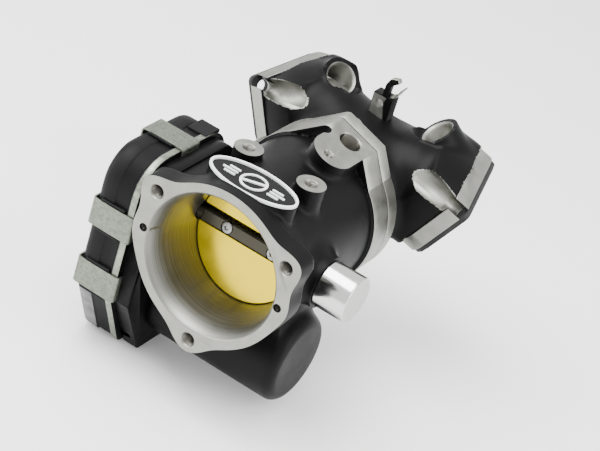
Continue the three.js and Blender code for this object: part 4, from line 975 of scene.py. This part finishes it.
        finished(obj, "body", "black_body", "throttle_body")
        return {"FINISHED"}


# ---- intake manifold ----

def runner_line(side, count=26):
    """Centre line of a runner: the cubic Bezier curve with four given points."""
    corner, u, v, w = port_frame(side)
    mouth = corner + u * PORT_U / 2 + v * PORT_V / 2
    a, b, c, d = np.array([0, 134, 5.0]), np.array([side * 12, 138, 10.0]), mouth - 18 * w, mouth
    t = np.linspace(0, 1, count)[:, None]
    return (1 - t) ** 3 * a + 3 * (1 - t) ** 2 * t * b + 3 * (1 - t) * t * t * c + t ** 3 * d


def pipe(line, radius, facets=96):
    """Solid round a line: ring k = p_k + r (cos a n + sin a m), with n and m across the tangent."""
    along = np.gradient(line, axis=0)
    along /= np.linalg.norm(along, axis=1)[:, None]
    n = np.cross(along, [0, 0, 1])
    n /= np.linalg.norm(n, axis=1)[:, None]
    m = np.cross(along, n)
    turn = np.linspace(0, 2 * np.pi, facets, endpoint=False)
    rings = line[:, None] + radius * (np.cos(turn)[None, :, None] * n[:, None]
                                      + np.sin(turn)[None, :, None] * m[:, None])
    return loft(list(rings))


def from_line(x, y, z, line):
    """Distance to a line of points: the least over its pieces of the distance to the nearest
    point p + t d with t held between 0 and 1."""
    least = None
    for p, q in zip(line, line[1:]):
        d = q - p
        t = np.clip(((x - p[0]) * d[0] + (y - p[1]) * d[1] + (z - p[2]) * d[2]) / (d @ d), 0, 1)
        here = np.sqrt((x - p[0] - t * d[0]) ** 2 + (y - p[1] - t * d[1]) ** 2 + (z - p[2] - t * d[2]) ** 2)
        least = here if least is None else np.minimum(least, here)
    return least


def manifold_field(k):
    """Distance outside the manifold: plenum, two curved runners that open into the head flanges,
    injector bosses, and the same less the hollow inside."""
    def field(x, y, z):
        r = np.hypot(x, z)
        outer_r = 34.4 - 1.6 * ramp(y, 107, 150)
        barrel = np.maximum(r - outer_r, slab(y, 100, 148))
        dome = np.sqrt(x * x + z * z + ((y - 146) * 1.45) ** 2) - 32.8
        value = union(barrel, dome, 5.0)
        hollow_bore = np.maximum(r - (BORE_R - 2 * ramp(y, 112, 145)), slab(y, 90, 146))
        hollow = union(hollow_bore, np.sqrt(x * x + z * z + ((y - 143) * 1.45) ** 2) - 28.6, 4.0)
        for side in (1, -1):
            line = runner_line(side, 14)
            from_middle = from_line(x, y, z, line)
            corner, u, v, w = port_frame(side)
            px, py, pz = x - corner[0], y - corner[1], z - corner[2]
            pu = px * u[0] + py * u[1] + pz * u[2]
            pv = px * v[0] + py * v[1] + pz * v[2]
            pw = px * w[0] + py * w[1] + pz * w[2]
            tube = from_middle - 24.2
            half_u, half_v = np.abs(pu - PORT_U / 2) - 18.5, np.abs(pv - PORT_V / 2) - 16
            square = np.hypot(np.maximum(half_u, 0), np.maximum(half_v, 0)) - 8.2
            collar = np.maximum(square + 0.011 * np.minimum(pw, 0) ** 2, slab(pw, -16, 4))
            value = union(value, union(tube, collar, 6.0), 7.0)
            mouth, basis = injector(side)
            ix, iy, iz = x - mouth[0], y - mouth[1], z - mouth[2]
            along = ix * basis[2][0] + iy * basis[2][1] + iz * basis[2][2]
            around = np.sqrt(np.maximum(ix * ix + iy * iy + iz * iz - along * along, 0))
            boss = np.maximum(around - (11 + 1.4 * ramp(along, 0, 26)), slab(along, -3, 30))
            value = np.maximum(union(value, boss, k), np.where(side * x > 25, pw - 0.8, -99))
            inner = np.maximum(from_middle - (PORT_R - 1.8 + 1.8 * ramp(pw, -9, -3)), pw - 12)
            hollow = union(hollow, inner, 3.0)
        return without(value, hollow, 0.8)
    return field


class THROTTLE_OT_manifold(bpy.types.Operator):
    """Cast intake manifold with joint flange, head flanges, injector seats and rail bracket"""
    bl_idname = "throttle.manifold"
    bl_label = "Intake manifold casting"

    def execute(self, context):
        cast_set = context.scene.throttle_casting
        n = cast_set.facets
        start = JOINT_Y + 0.3
        obj = cast("manifold", (-72, 97, -48), (72, 178, 62), cast_set.step * 1000,
                   manifold_field(cast_set.fillet * 1000))
        steps = flange_steps(start, MANIFOLD_END, n)
        block = ((-6.4, 138, 26), (5, 145.2, 47.6))
        finger = rounded([(-1.6, 46), (1.6, 46), (1.9, 54.6, 1.5), (5.6, 57.4), (4.4, 59.4),
                          (0.4, 58, 2), (-1.3, 54)])
        steps += [("UNION", box(*block), 0.5),
                  ("UNION", prism(finger[:, ::-1], block[0][1], block[0][1] + 3.6, "y"), 0.3)]
        cut = [box((-80, 60, -80), (80, start, 80)),
               drum(BORE_R, start - 1, 112, n, "y"),
               drum(2.3, 137, 147, 32, "y", (-1.5, 0, 42.4))]
        for radius, angle in JOINT_SCREWS:
            x, z = polar(radius, angle)
            cut += [drum(2.9, start - 1, MANIFOLD_END + 5, 32, "y", (x, 0, z)),
                    drum(5, MANIFOLD_END, MANIFOLD_END + 8, 48, "y", (x, 0, z))]
        for side in (1, -1):
            corner, u, v, w = port_frame(side)
            basis = np.array([u, v, w])
            steps.append(("UNION", prism(port_outline(), 0, PORT_T, basis, corner), 0.5))
            mouth, down = injector(side)
            cut.append(lathe([(0, -14), (11.5, -14), (11.5, 0), (8.7, 0), (7.9, 0.7), (7.3, 1.6), (7.3, 6),
                              (6.6, 7), (6.6, 13), (5.4, 14.2), (5.4, 34), (0, 34)], 72, down, mouth))
            cut.append(prism(port_outline(-12, 3), PORT_T, PORT_T + 16, basis, corner))
            middle = corner + u * PORT_U / 2 + v * PORT_V / 2
            cut.append(drum(PORT_R, -6, PORT_T + 2, n // 2, basis, middle))
            half = PORT_BOLT_R * math.sqrt(0.5)
            slot = [(-6 - half, half - 6), (half - 6, -6 - half), (PORT_BOLT + half, PORT_BOLT - half),
                    (PORT_BOLT - half, PORT_BOLT + half)]
            cut.append(prism(slot, -1, PORT_T + 1, basis, corner))
            for bu, bv in ((PORT_BOLT, PORT_BOLT), (PORT_U - PORT_BOLT, PORT_V - PORT_BOLT)):
                at = corner + u * bu + v * bv
                cut += [drum(PORT_BOLT_R, -1, PORT_T + 1, 32, basis, at),
                        lathe([(0, -27), (2.4, -26.5), (4.4, -25), (5.8, -22.6), (SCALLOP_R, -19.5),
                               (SCALLOP_R, 0), (0, 0)], 96, basis, at)]
        steps += [("DIFFERENCE", shape, 0) for shape in cut]
        walls = []
        for side in (1, -1):
            line = runner_line(side, 60)
            corner, u, v, w = port_frame(side)
            depth = (line - corner) @ w
            k = np.arange(len(line))
            wall, air = line[(k > 20) & (depth < -5.8)], line[(k > 17) & (depth < -4)]
            steps.append(("UNION", pipe(wall, PORT_R - 0.3), 0))
            walls.append(("DIFFERENCE", pipe(air, PORT_R - 2.0), 0))
        machine(obj, steps + walls)
        shade(obj)
        p, normal = faces_of(obj)
        r = np.hypot(p[:, 0], p[:, 2])
        slot = np.zeros(len(p), int)
        slot[(p[:, 1] < start + 0.03)] = 1
        slot[(p[:, 1] < MANIFOLD_END) & (np.abs(normal[:, 1]) < 0.8) & (r > 38.5)] = 1
        slot[(r < 31.5) & (p[:, 1] < 112.1) & (r > 30)] = 1
        for side in (1, -1):
            corner, u, v, w = port_frame(side)
            q = p - corner
            pu, pv, pw = q @ u, q @ v, q @ w
            facing = np.abs(normal @ w)
            outline = port_outline()
            off = near_outline(pu, pv, outline)
            slot[(pw > -0.1) & (pw < PORT_T + 0.1) & (off < 0.6) & (facing < 0.8)] = 1
            slot[(pw > PORT_T - 0.05)] = 1
            for bu, bv in ((PORT_BOLT, PORT_BOLT), (PORT_U - PORT_BOLT, PORT_V - PORT_BOLT)):
                away = np.hypot(pu - bu, pv - bv)
                slot[(away < SCALLOP_R + 0.12) & (pw < 0.3) & (pw > -34)] = 1
                slot[(away < PORT_BOLT_R + 0.2) & (pw > -0.3) & (pw < PORT_T)] = 1
            mouth, down = injector(side)
            q = p - mouth
            along = q @ down[2]
            around = np.linalg.norm(q - along[:, None] * down[2], axis=1)
            slot[(around < 8.8) & (along > -0.1) & (along < 34)] = 1
            slot[(np.abs(np.hypot(pu - PORT_U / 2, pv - PORT_V / 2) - PORT_R) < 0.3) & (pw > -6)] = 1
        hole = np.hypot(p[:, 0] + 1.5, p[:, 2] - 42.4)
        slot[(hole < 2.4) & (p[:, 1] > 137) & (p[:, 1] < 146)] = 1
        slot[(np.abs(p[:, 0] - 1.5) < 6) & (p[:, 2] > 56.5) & (np.abs(normal[:, 1]) < 0.5)] = 1
        paint(obj, [finish("casting"), finish("machined")], slot)
        finished(obj, "body", "black_body", "intake_manifold")
        return {"FINISHED"}


def near_outline(a, b, outline):
    """Distance of each point (a, b) to a closed outline: the least over its edges."""
    least = np.full(len(a), np.inf)
    for p, q in zip(outline, np.roll(outline, -1, axis=0)):
        d = q - p
        length = d @ d
        if length < 1e-9:
            continue
        t = np.clip(((a - p[0]) * d[0] + (b - p[1]) * d[1]) / length, 0, 1)
        least = np.minimum(least, np.hypot(a - p[0] - t * d[0], b - p[1] - t * d[1]))
    return least


# ---- throttle plate, shaft and screws ----

class THROTTLE_OT_plate(bpy.types.Operator):
    """Throttle plate, slotted shaft and the two plate screws"""
    bl_idname = "throttle.plate"
    bl_label = "Plate and shaft"

    def execute(self, context):
        n = context.scene.throttle_casting.facets
        shaft = np.array([0, SHAFT_Y, 0])
        along, across, face = PLATE_BASIS
        radius = BORE_R - 0.35
        stretched = np.array([along, across / math.cos(CLOSED_TILT), face])
        edge = [(0, -1), (radius - 0.3, -1), (radius, -0.7), (radius, 0.7), (radius - 0.3, 1), (0, 1)]
        plate = link("plate_disc", *lathe(edge, n, stretched, shaft))
        holes = [drum(2.1, -3, 3, 32, PLATE_BASIS, shaft + side * PLATE_SCREW_X * along) for side in (-1, 1)]
        machine(plate, [("DIFFERENCE", hole, 0) for hole in holes])
        shade(plate)
        paint(plate, [finish("plate")], np.zeros(len(plate.data.polygons)))
        finished(plate, "throttle", "brass", "throttle_plate")

        bar = link("shaft_bar", *lathe([(0, -62.2), (3.0, -62.2), (3.2, -62), (3.2, -61.9), (3.4, -57.5),
                                        (4, -57.5), (4, -48.4), (SHAFT_R, -48.4), (SHAFT_R, 41.6),
                                        (SHAFT_R - 0.2, 41.8), (0, 41.8)], 96, "x", shaft))
        square = [(-31.15, -8), (31.15, -8), (31.15, 8), (-31.15, 8)]
        level = rounded([(-27.65, -8), (27.65, -8), (27.65, 8), (-27.65, 8)])
        steps = [("DIFFERENCE", prism(square, -1.2, 1.2, PLATE_BASIS, shaft), 0),
                 ("DIFFERENCE", prism(level, 4.25, 7, PLATE_BASIS, shaft), 0)]
        for side in (-1, 1):
            at = shaft + side * PLATE_SCREW_X * along
            steps += [("DIFFERENCE", drum(1.6, -7, 7, 32, PLATE_BASIS, at), 0),
                      ("DIFFERENCE", drum(3.4, 2.9, 7, 64, PLATE_BASIS, at), 0)]
        machine(bar, steps)
        shade(bar, 28)
        bevelled(bar, 0.18, 2, 30)
        paint(bar, [finish("shaft")], np.zeros(len(bar.data.polygons)))
        finished(bar, "throttle", "shaft_steel", "throttle_shaft")

        turn = np.linspace(0, 2 * np.pi, 72, endpoint=False)
        star = (1.35 + 0.28 * np.cos(6 * turn))[:, None] * np.stack([np.cos(turn), np.sin(turn)], axis=1)
        for side, name in ((-1, "left"), (1, "right")):
            at = shaft + side * PLATE_SCREW_X * along
            screw = link("plate_screw_" + name + "_head", *lathe(
                [(0, -3.3), (1.3, -3.3), (1.3, 3.2), (2.8, 3.2), (3.0, 3.4), (3.0, 4.1), (2.8, 4.4),
                 (2.2, 4.6), (0, 4.6)], 64, PLATE_BASIS, at))
            machine(screw, [("DIFFERENCE", prism(star, 3.5, 6, PLATE_BASIS, at), 0)])
            shade(screw, 28)
            paint(screw, [finish("plain_steel")], np.zeros(len(screw.data.polygons)))
            finished(screw, "throttle", "steel", "plate_screw_" + name)
        return {"FINISHED"}


class THROTTLE_OT_cap(bpy.types.Operator):
    """Polished cap over the free end of the shaft"""
    bl_idname = "throttle.cap"
    bl_label = "Shaft end cap"

    def execute(self, context):
        arc = np.linspace(0, np.pi / 2, 7)
        rim = [(CAP_R - 0.9 + 0.9 * math.cos(a), CAP_END - 0.9 + 0.9 * math.sin(a)) for a in arc]
        rows = [(5.6, CAP_START - 0.8), (6.8, CAP_START - 0.8), (6.8, CAP_START), (CAP_R - 0.3, CAP_START),
                (CAP_R, CAP_START + 0.3)] + rim + [(0, CAP_END), (0, CAP_END - 5), (5.6, CAP_END - 5),
                                                   (5.6, CAP_START - 0.8)]
        obj = link("end_cap", *lathe_open(rows, 128, "x", (0, SHAFT_Y, 0)))
        shade(obj, 30)
        p, normal = faces_of(obj)
        paint(obj, [finish("polished"), finish("brushed")],
              ((p[:, 0] > CAP_END - 0.05) & (normal[:, 0] > 0.9)).astype(int))
        finished(obj, "body", "polished", "shaft_end_cap")
        return {"FINISHED"}


def lathe_open(rows, facets, basis, centre):
    """Turned solid whose closed profile touches the axis between two of its rows."""
    first = next(k for k, row in enumerate(rows) if row[0] == 0)
    ordered = rows[first + 1:] + rows[1:first + 1]
    return lathe([rows[first + 1]] + ordered[1:], facets, basis, centre)


# ---- gear cover, clips, badge ----

CLIP_WIDTH = 14.5
CLIPS = (("cover_clip_top", (37.6, 27.5), 90), ("cover_clip_front_upper", (2.5, -7.6), 180),
         ("cover_clip_front_lower", (2.5, -42.2), 180), ("cover_clip_rear", (2 * SHAFT_Y - 2.5, -36.0), 0))


def clip_basis(turn):
    """u along X, v outwards from the rim and w across the clip."""
    c, s = math.cos(math.radians(turn)), math.sin(math.radians(turn))
    return np.array([[1, 0, 0], [0, c, s], [0, -s, c]], float)


class THROTTLE_OT_cover(bpy.types.Operator):
    """Moulded gear cover with its step, clip ribs and harness guide"""
    bl_idname = "throttle.cover"
    bl_label = "Gear cover"

    def execute(self, context):
        rows = [(-50.9, 0.7), (-51.2, 0.4), (-58.3, 0.4), (-58.7, 0.0), (-59.0, -0.35), (-65.0, -0.35),
                (-66.4, -0.1), (-67.6, 0.6), (-68.4, 1.5), (-68.9, 2.8), (-69.0, 3.6)]
        rings = []
        for x, amount in rows:
            flat = rounded(case_corners(amount), 10)
            rings.append(np.column_stack([np.full(len(flat), x), flat]))
        obj = link("cover", *loft(rings))
        steps = []
        for _, at, turn in CLIPS:
            basis, centre = clip_basis(turn), (0, *at)
            for side in (-1, 1):
                place = side * (CLIP_WIDTH / 2 + 1.0)
                rib = rounded([(-65.6, -2), (-51.4, -2), (-51.4, 1.3, 0.6), (-65.6, 1.3, 0.6)], 4)
                steps.append(("UNION", prism(rib, place - 0.55, place + 0.55, basis, centre), 0.2))
        steps.append(("UNION", box((-58, 52, 12), (CASE_FLANGE, 64.5, 28.4)), 0.6))
        steps += [("DIFFERENCE", prism(rounded(case_corners(-0.75)), CASE_SPLIT - 0.9, PAN_BACK, "x"), 0),
                  ("DIFFERENCE", prism(rounded(case_corners(2.6)), CASE_OUTER + 2.6, CASE_SPLIT + 1, "x"),
                   0),
                  ("DIFFERENCE", drum(2.8, CASE_OUTER + 1.4, CASE_OUTER + 4, 32, "x", (0, *IDLER)), 0)]
        machine(obj, steps)
        shade(obj)
        p, normal = faces_of(obj)
        worn = (p[:, 0] < -59.5) & (p[:, 0] > -67.5) & (p[:, 2] < -52) & (normal[:, 1] < -0.3)
        paint(obj, [finish("cover"), finish("worn")], worn.astype(int))
        finished(obj, "body", "black_plastic", "gear_cover")
        return {"FINISHED"}


def strip(path, thickness):
    """Outline of a bent strip: the path moved both ways along its own normal by half the
    thickness, out and back."""
    flat = np.asarray(path, float)
    along = np.gradient(flat, axis=0)
    along /= np.linalg.norm(along, axis=1)[:, None]
    normal = np.stack([-along[:, 1], along[:, 0]], axis=1) * thickness / 2
    return np.vstack([flat + normal, (flat - normal)[::-1]])


def bend(corners, steps=6):
    """Open path with rounded corners (a, b, radius)."""
    return rounded([(*corners[0][:2], 0)] + list(corners[1:-1]) + [(*corners[-1][:2], 0)], steps)


class THROTTLE_OT_clips(bpy.types.Operator):
    """Spring clips that hold the cover on the housing"""
    bl_idname = "throttle.clips"
    bl_label = "Cover clips"

    def execute(self, context):
        half = CLIP_WIDTH / 2
        for name, at, turn in CLIPS:
            basis, centre = clip_basis(turn), (0, *at)
            path = bend([(-45.65, -2.6), (-45.65, 1.1, 1.3), (-69.75, 1.1, 1.5), (-69.75, -5.4)])
            obj = link(name + "_spring", *prism(strip(path, 0.9), -half, half, basis, centre))
            window = prism(rounded([(-47.5, -1.9, 0.4), (-43.5, -1.9, 0.4), (-43.5, -0.6, 0.4),
                                    (-47.5, -0.6, 0.4)], 3), -1.8, 1.8, basis, centre)
            machine(obj, [("DIFFERENCE", window, 0)])
            bevelled(obj, 0.14, 2, 40)
            shade(obj, 30)
            paint(obj, [finish("zinc")], np.zeros(len(obj.data.polygons)))
            finished(obj, "body", "zinc", name)
        return {"FINISHED"}


def ring_on_oval(amount, width, low, high, facets=200):
    """Rounded section carried round the badge's ellipse, moved along the ellipse's own normal."""
    t = np.linspace(0, 2 * np.pi, facets, endpoint=False)
    a, b = BADGE[0] - amount, BADGE[1] - amount
    normal = np.stack([b * np.cos(t), a * np.sin(t)], axis=1)
    normal /= np.linalg.norm(normal, axis=1)[:, None]
    centre = np.stack([a * np.cos(t), BADGE[2] + b * np.sin(t)], axis=1)
    section = rounded([(-width, low), (0, low), (0, high, 0.35), (-width, high, 0.35)], 4)
    grid = np.concatenate([centre[:, None, :] + normal[:, None, :] * section[None, :, :1],
                           np.broadcast_to(section[None, :, 1:], (facets, len(section), 1))], axis=2)
    m = len(section)
    k = np.arange(facets * m).reshape(facets, m)
    quads = np.stack([k, np.roll(k, -1, 1), np.roll(np.roll(k, -1, 0), -1, 1), np.roll(k, -1, 0)], axis=2)
    return outward(grid.reshape(-1, 3), quads.reshape(-1, 4).tolist())


class THROTTLE_OT_badge(bpy.types.Operator):
    """Oval badge with a raised ring and a plain emblem of a tilted plate in its bore"""
    bl_idname = "throttle.badge"
    bl_label = "Badge"

    def execute(self, context):
        top = BADGE[3]
        plate = link("badge_face", *prism(oval(1.6), top - 2.6, top - 1.2, "z"))
        shade(plate)
        paint(plate, [finish("badge")], np.zeros(len(plate.data.polygons)))
        finished(plate, "body", "black_plastic", "badge_plate")
        ring = link("badge_rim", *ring_on_oval(0.0, 1.3, top - 1.3, top))
        shade(ring, 40)
        paint(ring, [finish("ring")], np.zeros(len(ring.data.polygons)))
        finished(ring, "body", "ring_white", "badge_ring")
        centre = (0, BADGE[2], 0)
        low, high = top - 1.25, top - 0.6
        emblem = link("badge_emblem", *lathe([(5.9, low), (7.0, low), (7.0, high), (5.9, high), (5.9, low)],
                                             96, "z", centre))
        bar = rounded([(-5.2, -0.7, 0.3), (5.2, -0.7, 0.3), (5.2, 0.7, 0.3), (-5.2, 0.7, 0.3)], 4)
        lean = math.radians(24)
        c, s = math.cos(lean), math.sin(lean)
        turned = np.array([[c, s, 0], [-s, c, 0], [0, 0, 1]])
        steps = [("UNION", prism(bar * [1.2, 1], low, high, turned, centre), 0)]
        for side in (-1, 1):
            for across, reach in ((-2.6, 6.2), (0.0, 8.4), (2.6, 6.2)):
                line = [(0, -0.55), (reach, -0.55), (reach, 0.55), (0, 0.55)]
                basis = np.array([[side, 0, 0], [0, side, 0], [0, 0, 1]], float)
                steps.append(("UNION", prism(rounded([(p, q, 0.4) for p, q in line], 3), low, high, basis,
                                             (side * 9.2, BADGE[2] + across, 0)), 0))
        machine(emblem, steps)
        shade(emblem)
        paint(emblem, [finish("ring")], np.zeros(len(emblem.data.polygons)))
        finished(emblem, "body", "ring_white")
        return {"FINISHED"}


# ---- small parts ----

def thread(radius, depth, pitch, basis, centre, at, inwards):
    """Thread as a stack of grooves: the inner wall's radius zigzags by half a pitch's depth."""
    turns = int(depth / pitch)
    rows = [(radius + 0.15, 0.9)]
    for k in range(turns):
        rows += [(radius, 1.0 + pitch * k), (radius - 0.45, 1.0 + pitch * (k + 0.5))]
    rows += [(radius, 1.0 + pitch * turns), (radius + 0.15, 1.0 + pitch * turns), rows[0]]
    return lathe([(r, at + inwards * s) for r, s in rows], 48, basis, centre)


class THROTTLE_OT_threads(bpy.types.Operator):
    """Threads in the tapped holes that show"""
    bl_idname = "throttle.threads"
    bl_label = "Threads"

    def execute(self, context):
        holes = []
        for k, angle in enumerate(INLET_BOLTS):
            x, z = polar(INLET_BOLT_R, angle)
            holes.append(("inlet_thread_%d" % (k + 1), thread(3.2, 9, 1.0, "y", (x, 0, z), 0, 1)))
        for name, side in (("right", 1), ("left", -1)):
            holes.append(("boss_thread_" + name, thread(2.8, 4.0, 0.8, "z", (side * BOSS_X, BOSS_Y, 0),
                                                        BOSS_TOP, -1)))
        at = (math.cos(PAD_TILT) * (PAD_MIDDLE - SENSOR_SCREW_SHIFT), SENSOR_SCREW_Y,
                -math.sin(PAD_TILT) * (PAD_MIDDLE - SENSOR_SCREW_SHIFT))
        holes.append(("pad_thread", thread(2.0, 8, 0.7, PAD_BASIS, at, PAD_TOP, -1)))
        for name, shape in holes:
            obj = link(name, *shape)
            shade(obj, 60)
            # The threads take the darker metal that is painted shade for the depth of the holes.
            paint(obj, [finish("hole_metal_painted_shade")], np.zeros(len(obj.data.polygons)))
            finished(obj, "body", "black_body")
        return {"FINISHED"}


class THROTTLE_OT_fasteners(bpy.types.Operator):
    """Socket screws of the manifold joint and the fuel-rail spring strip"""
    bl_idname = "throttle.fasteners"
    bl_label = "Fasteners"

    def execute(self, context):
        seat = MANIFOLD_END + 0.3
        turn = np.radians(np.arange(0, 360, 60))
        hexagon = 2.0 * np.stack([np.cos(turn), np.sin(turn)], axis=1)
        for k, (radius, angle) in enumerate(JOINT_SCREWS):
            x, z = polar(radius, angle)
            screw = link("joint_screw_%d" % (k + 1), *lathe(
                [(0, REAR_FLANGE_Y + 3), (2.35, REAR_FLANGE_Y + 3), (2.35, seat), (4.2, seat),
                 (4.2, seat + 3.6), (3.8, seat + 4), (0, seat + 4)], 64, "y", (x, 0, z)))
            machine(screw, [("DIFFERENCE", prism(hexagon, seat + 1.8, seat + 5, "y", (x, 0, z)), 0)])
            shade(screw)
            paint(screw, [finish("plain_steel")], np.zeros(len(screw.data.polygons)))
            finished(screw, "body", "steel", "manifold_screw_%d" % (k + 1))
        path = bend([(3.0, 48.3), (4.9, 48.4, 1.2), (7.8, 54.8)])
        spring = link("rail_spring", *prism(strip(path, 0.6)[:, ::-1], 138.6, 144.6, "y"))
        bevelled(spring, 0.1, 2, 40)
        shade(spring)
        paint(spring, [finish("zinc")], np.zeros(len(spring.data.polygons)))
        finished(spring, "body", "zinc", "rail_spring_clip")
        return {"FINISHED"}


NODE_FINISH = {
    "manifold_o_ring": "black_rubber",
    "head_gasket_right": "flat_gasket", "head_gasket_left": "flat_gasket",
    "sector_gear": "moulded_nylon", "sensor_magnet": "sintered_magnet",
    "shaft_bearing_left": "plain_steel", "shaft_bearing_right": "plain_steel",
    "shaft_seal_left": "black_rubber", "shaft_seal_right": "black_rubber", "return_spring": "plain_steel",
    "idler_pin": "plain_steel", "idler_gear": "moulded_nylon", "motor_can": "plain_steel",
    "motor_plate": "plain_steel", "motor_screw_1": "plain_steel", "motor_screw_2": "plain_steel",
    "motor_armature": "plain_steel", "motor_pinion": "plate", "cover_seal": "black_rubber",
    "position_sensor_board": "solder_mask", "connector_shell": "cover", "connector_pins": "plated_pin",
}


class THROTTLE_OT_inner_parts(bpy.types.Operator):
    """Finishes of the CAD pieces that stay as they are"""
    bl_idname = "throttle.inner_parts"
    bl_label = "Inner parts"

    def execute(self, context):
        for name, key in NODE_FINISH.items():
            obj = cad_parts[name]
            if obj.material_slots:
                for slot in obj.material_slots:
                    slot.material = finish(key)
            else:
                obj.data.materials.append(finish(key))
        return {"FINISHED"}


# ---- stage ----

def lamp(name, power, size, place, target):
    """Square area lamp at a place, turned towards a target, both in shape millimetres."""
    data = bpy.data.lights.new(name, "AREA")
    data.energy, data.shape, data.size, data.size_y = power, "RECTANGLE", size[0], size[1]
    obj = bpy.data.objects.new(name, data)
    start, end = (np.array(place) + ORIGIN) / 1000, (np.array(target) + ORIGIN) / 1000
    away = (start - end) / np.linalg.norm(start - end)
    side = np.cross([0, 0, 1], away)
    side = side / np.linalg.norm(side) if np.linalg.norm(side) > 1e-3 else np.array([1.0, 0, 0])
    up = np.cross(away, side)
    obj.matrix_world = Matrix([[side[i], up[i], away[i], start[i]] for i in range(3)] + [[0, 0, 0, 1]])
    bpy.context.scene.collection.objects.link(obj)


def place_camera():
    """Camera turned 23.4 degrees round, 31.2 above the horizon and rolled 17.8, 1.07 m away."""
    azimuth, elevation, roll = (math.radians(a) for a in (23.412, 31.198, 17.835))
    back = np.array([math.sin(azimuth) * math.cos(elevation), -math.cos(azimuth) * math.cos(elevation),
                     math.sin(elevation)])
    right = np.array([math.cos(azimuth), math.sin(azimuth), 0])
    up = np.cross(back, right)
    c, s = math.cos(roll), math.sin(roll)
    turned = np.array([c * right + s * up, -s * right + c * up, back])
    place = (-turned.T @ np.array([-42.307, -19.477, -1072.231]) + ORIGIN) / 1000
    data = bpy.data.cameras.new("view")
    data.sensor_width, data.lens, data.clip_start, data.clip_end = 36.0, 2299.955 / 600 * 36, 0.01, 20.0
    data.dof.use_dof = False
    obj = bpy.data.objects.new("view", data)
    obj.matrix_world = Matrix([[*turned[:, i], place[i]] for i in range(3)] + [[0, 0, 0, 1]])
    bpy.context.scene.collection.objects.link(obj)
    bpy.context.scene.camera = obj


class THROTTLE_OT_stage(bpy.types.Operator):
    """Pale floor, soft lamps and the camera"""
    bl_idname = "throttle.stage"
    bl_label = "Stage"

    def execute(self, context):
        settings = context.scene.throttle_stage
        material = bpy.data.materials.new("pale_floor")
        material.use_nodes = True
        shader = material.node_tree.nodes["Principled BSDF"]
        shader.inputs["Base Color"].default_value = (*settings.floor, 1)
        shader.inputs["Roughness"].default_value = 0.9
        reach = 3000
        floor = link("floor", [(-reach, -reach, -ORIGIN[2]), (reach, -reach, -ORIGIN[2]),
                               (reach, reach, -ORIGIN[2]), (-reach, reach, -ORIGIN[2])], [[0, 1, 2, 3]])
        floor.data.materials.append(material)
        world = bpy.data.worlds.new("studio")
        context.scene.world = world
        world.use_nodes = True
        back = world.node_tree.nodes["Background"]
        back.inputs["Color"].default_value = (1, 1, 1, 1)
        back.inputs["Strength"].default_value = settings.sky
        middle = (0, 80, 0)
        lamp("overhead", settings.key, (0.7, 0.5), (-150, -100, 800), middle)
        lamp("left_strip", settings.key * 0.5, (0.25, 0.9), (-700, -350, 350), middle)
        lamp("right_strip", settings.key * 0.4, (0.25, 0.9), (750, 100, 300), middle)
        place_camera()
        return {"FINISHED"}


class THROTTLE_PT_panel(bpy.types.Panel):
    """Lists the steps that build the throttle body"""
    bl_idname = "THROTTLE_PT_panel"
    bl_label = "Throttle body"
    bl_space_type = "VIEW_3D"
    bl_region_type = "UI"
    bl_category = "Throttle"

    def draw(self, context):
        for group_name in ("throttle_casting", "throttle_finish", "throttle_stage"):
            settings = getattr(context.scene, group_name)
            for key in settings.bl_rna.properties.keys():
                if key not in ("rna_type", "name"):
                    self.layout.prop(settings, key)
        for operator in OPERATORS:
            self.layout.operator(operator.bl_idname)


OPERATORS = (THROTTLE_OT_housing, THROTTLE_OT_manifold, THROTTLE_OT_plate, THROTTLE_OT_cap,
             THROTTLE_OT_cover, THROTTLE_OT_clips, THROTTLE_OT_badge, THROTTLE_OT_threads,
             THROTTLE_OT_fasteners, THROTTLE_OT_inner_parts, THROTTLE_OT_stage)
CLASSES = (CastingSettings, FinishSettings, StageSettings, *OPERATORS, THROTTLE_PT_panel)


def register():
    for each in CLASSES:
        bpy.utils.register_class(each)
    bpy.types.Scene.throttle_casting = PointerProperty(type=CastingSettings)
    bpy.types.Scene.throttle_finish = PointerProperty(type=FinishSettings)
    bpy.types.Scene.throttle_stage = PointerProperty(type=StageSettings)


def unregister():
    del bpy.types.Scene.throttle_casting, bpy.types.Scene.throttle_finish, bpy.types.Scene.throttle_stage
    for each in reversed(CLASSES):
        bpy.utils.unregister_class(each)


def main():
    register()
    for operator in OPERATORS:
        getattr(bpy.ops.throttle, operator.bl_idname.split(".")[1])()


if __name__ == "__main__":
    main()
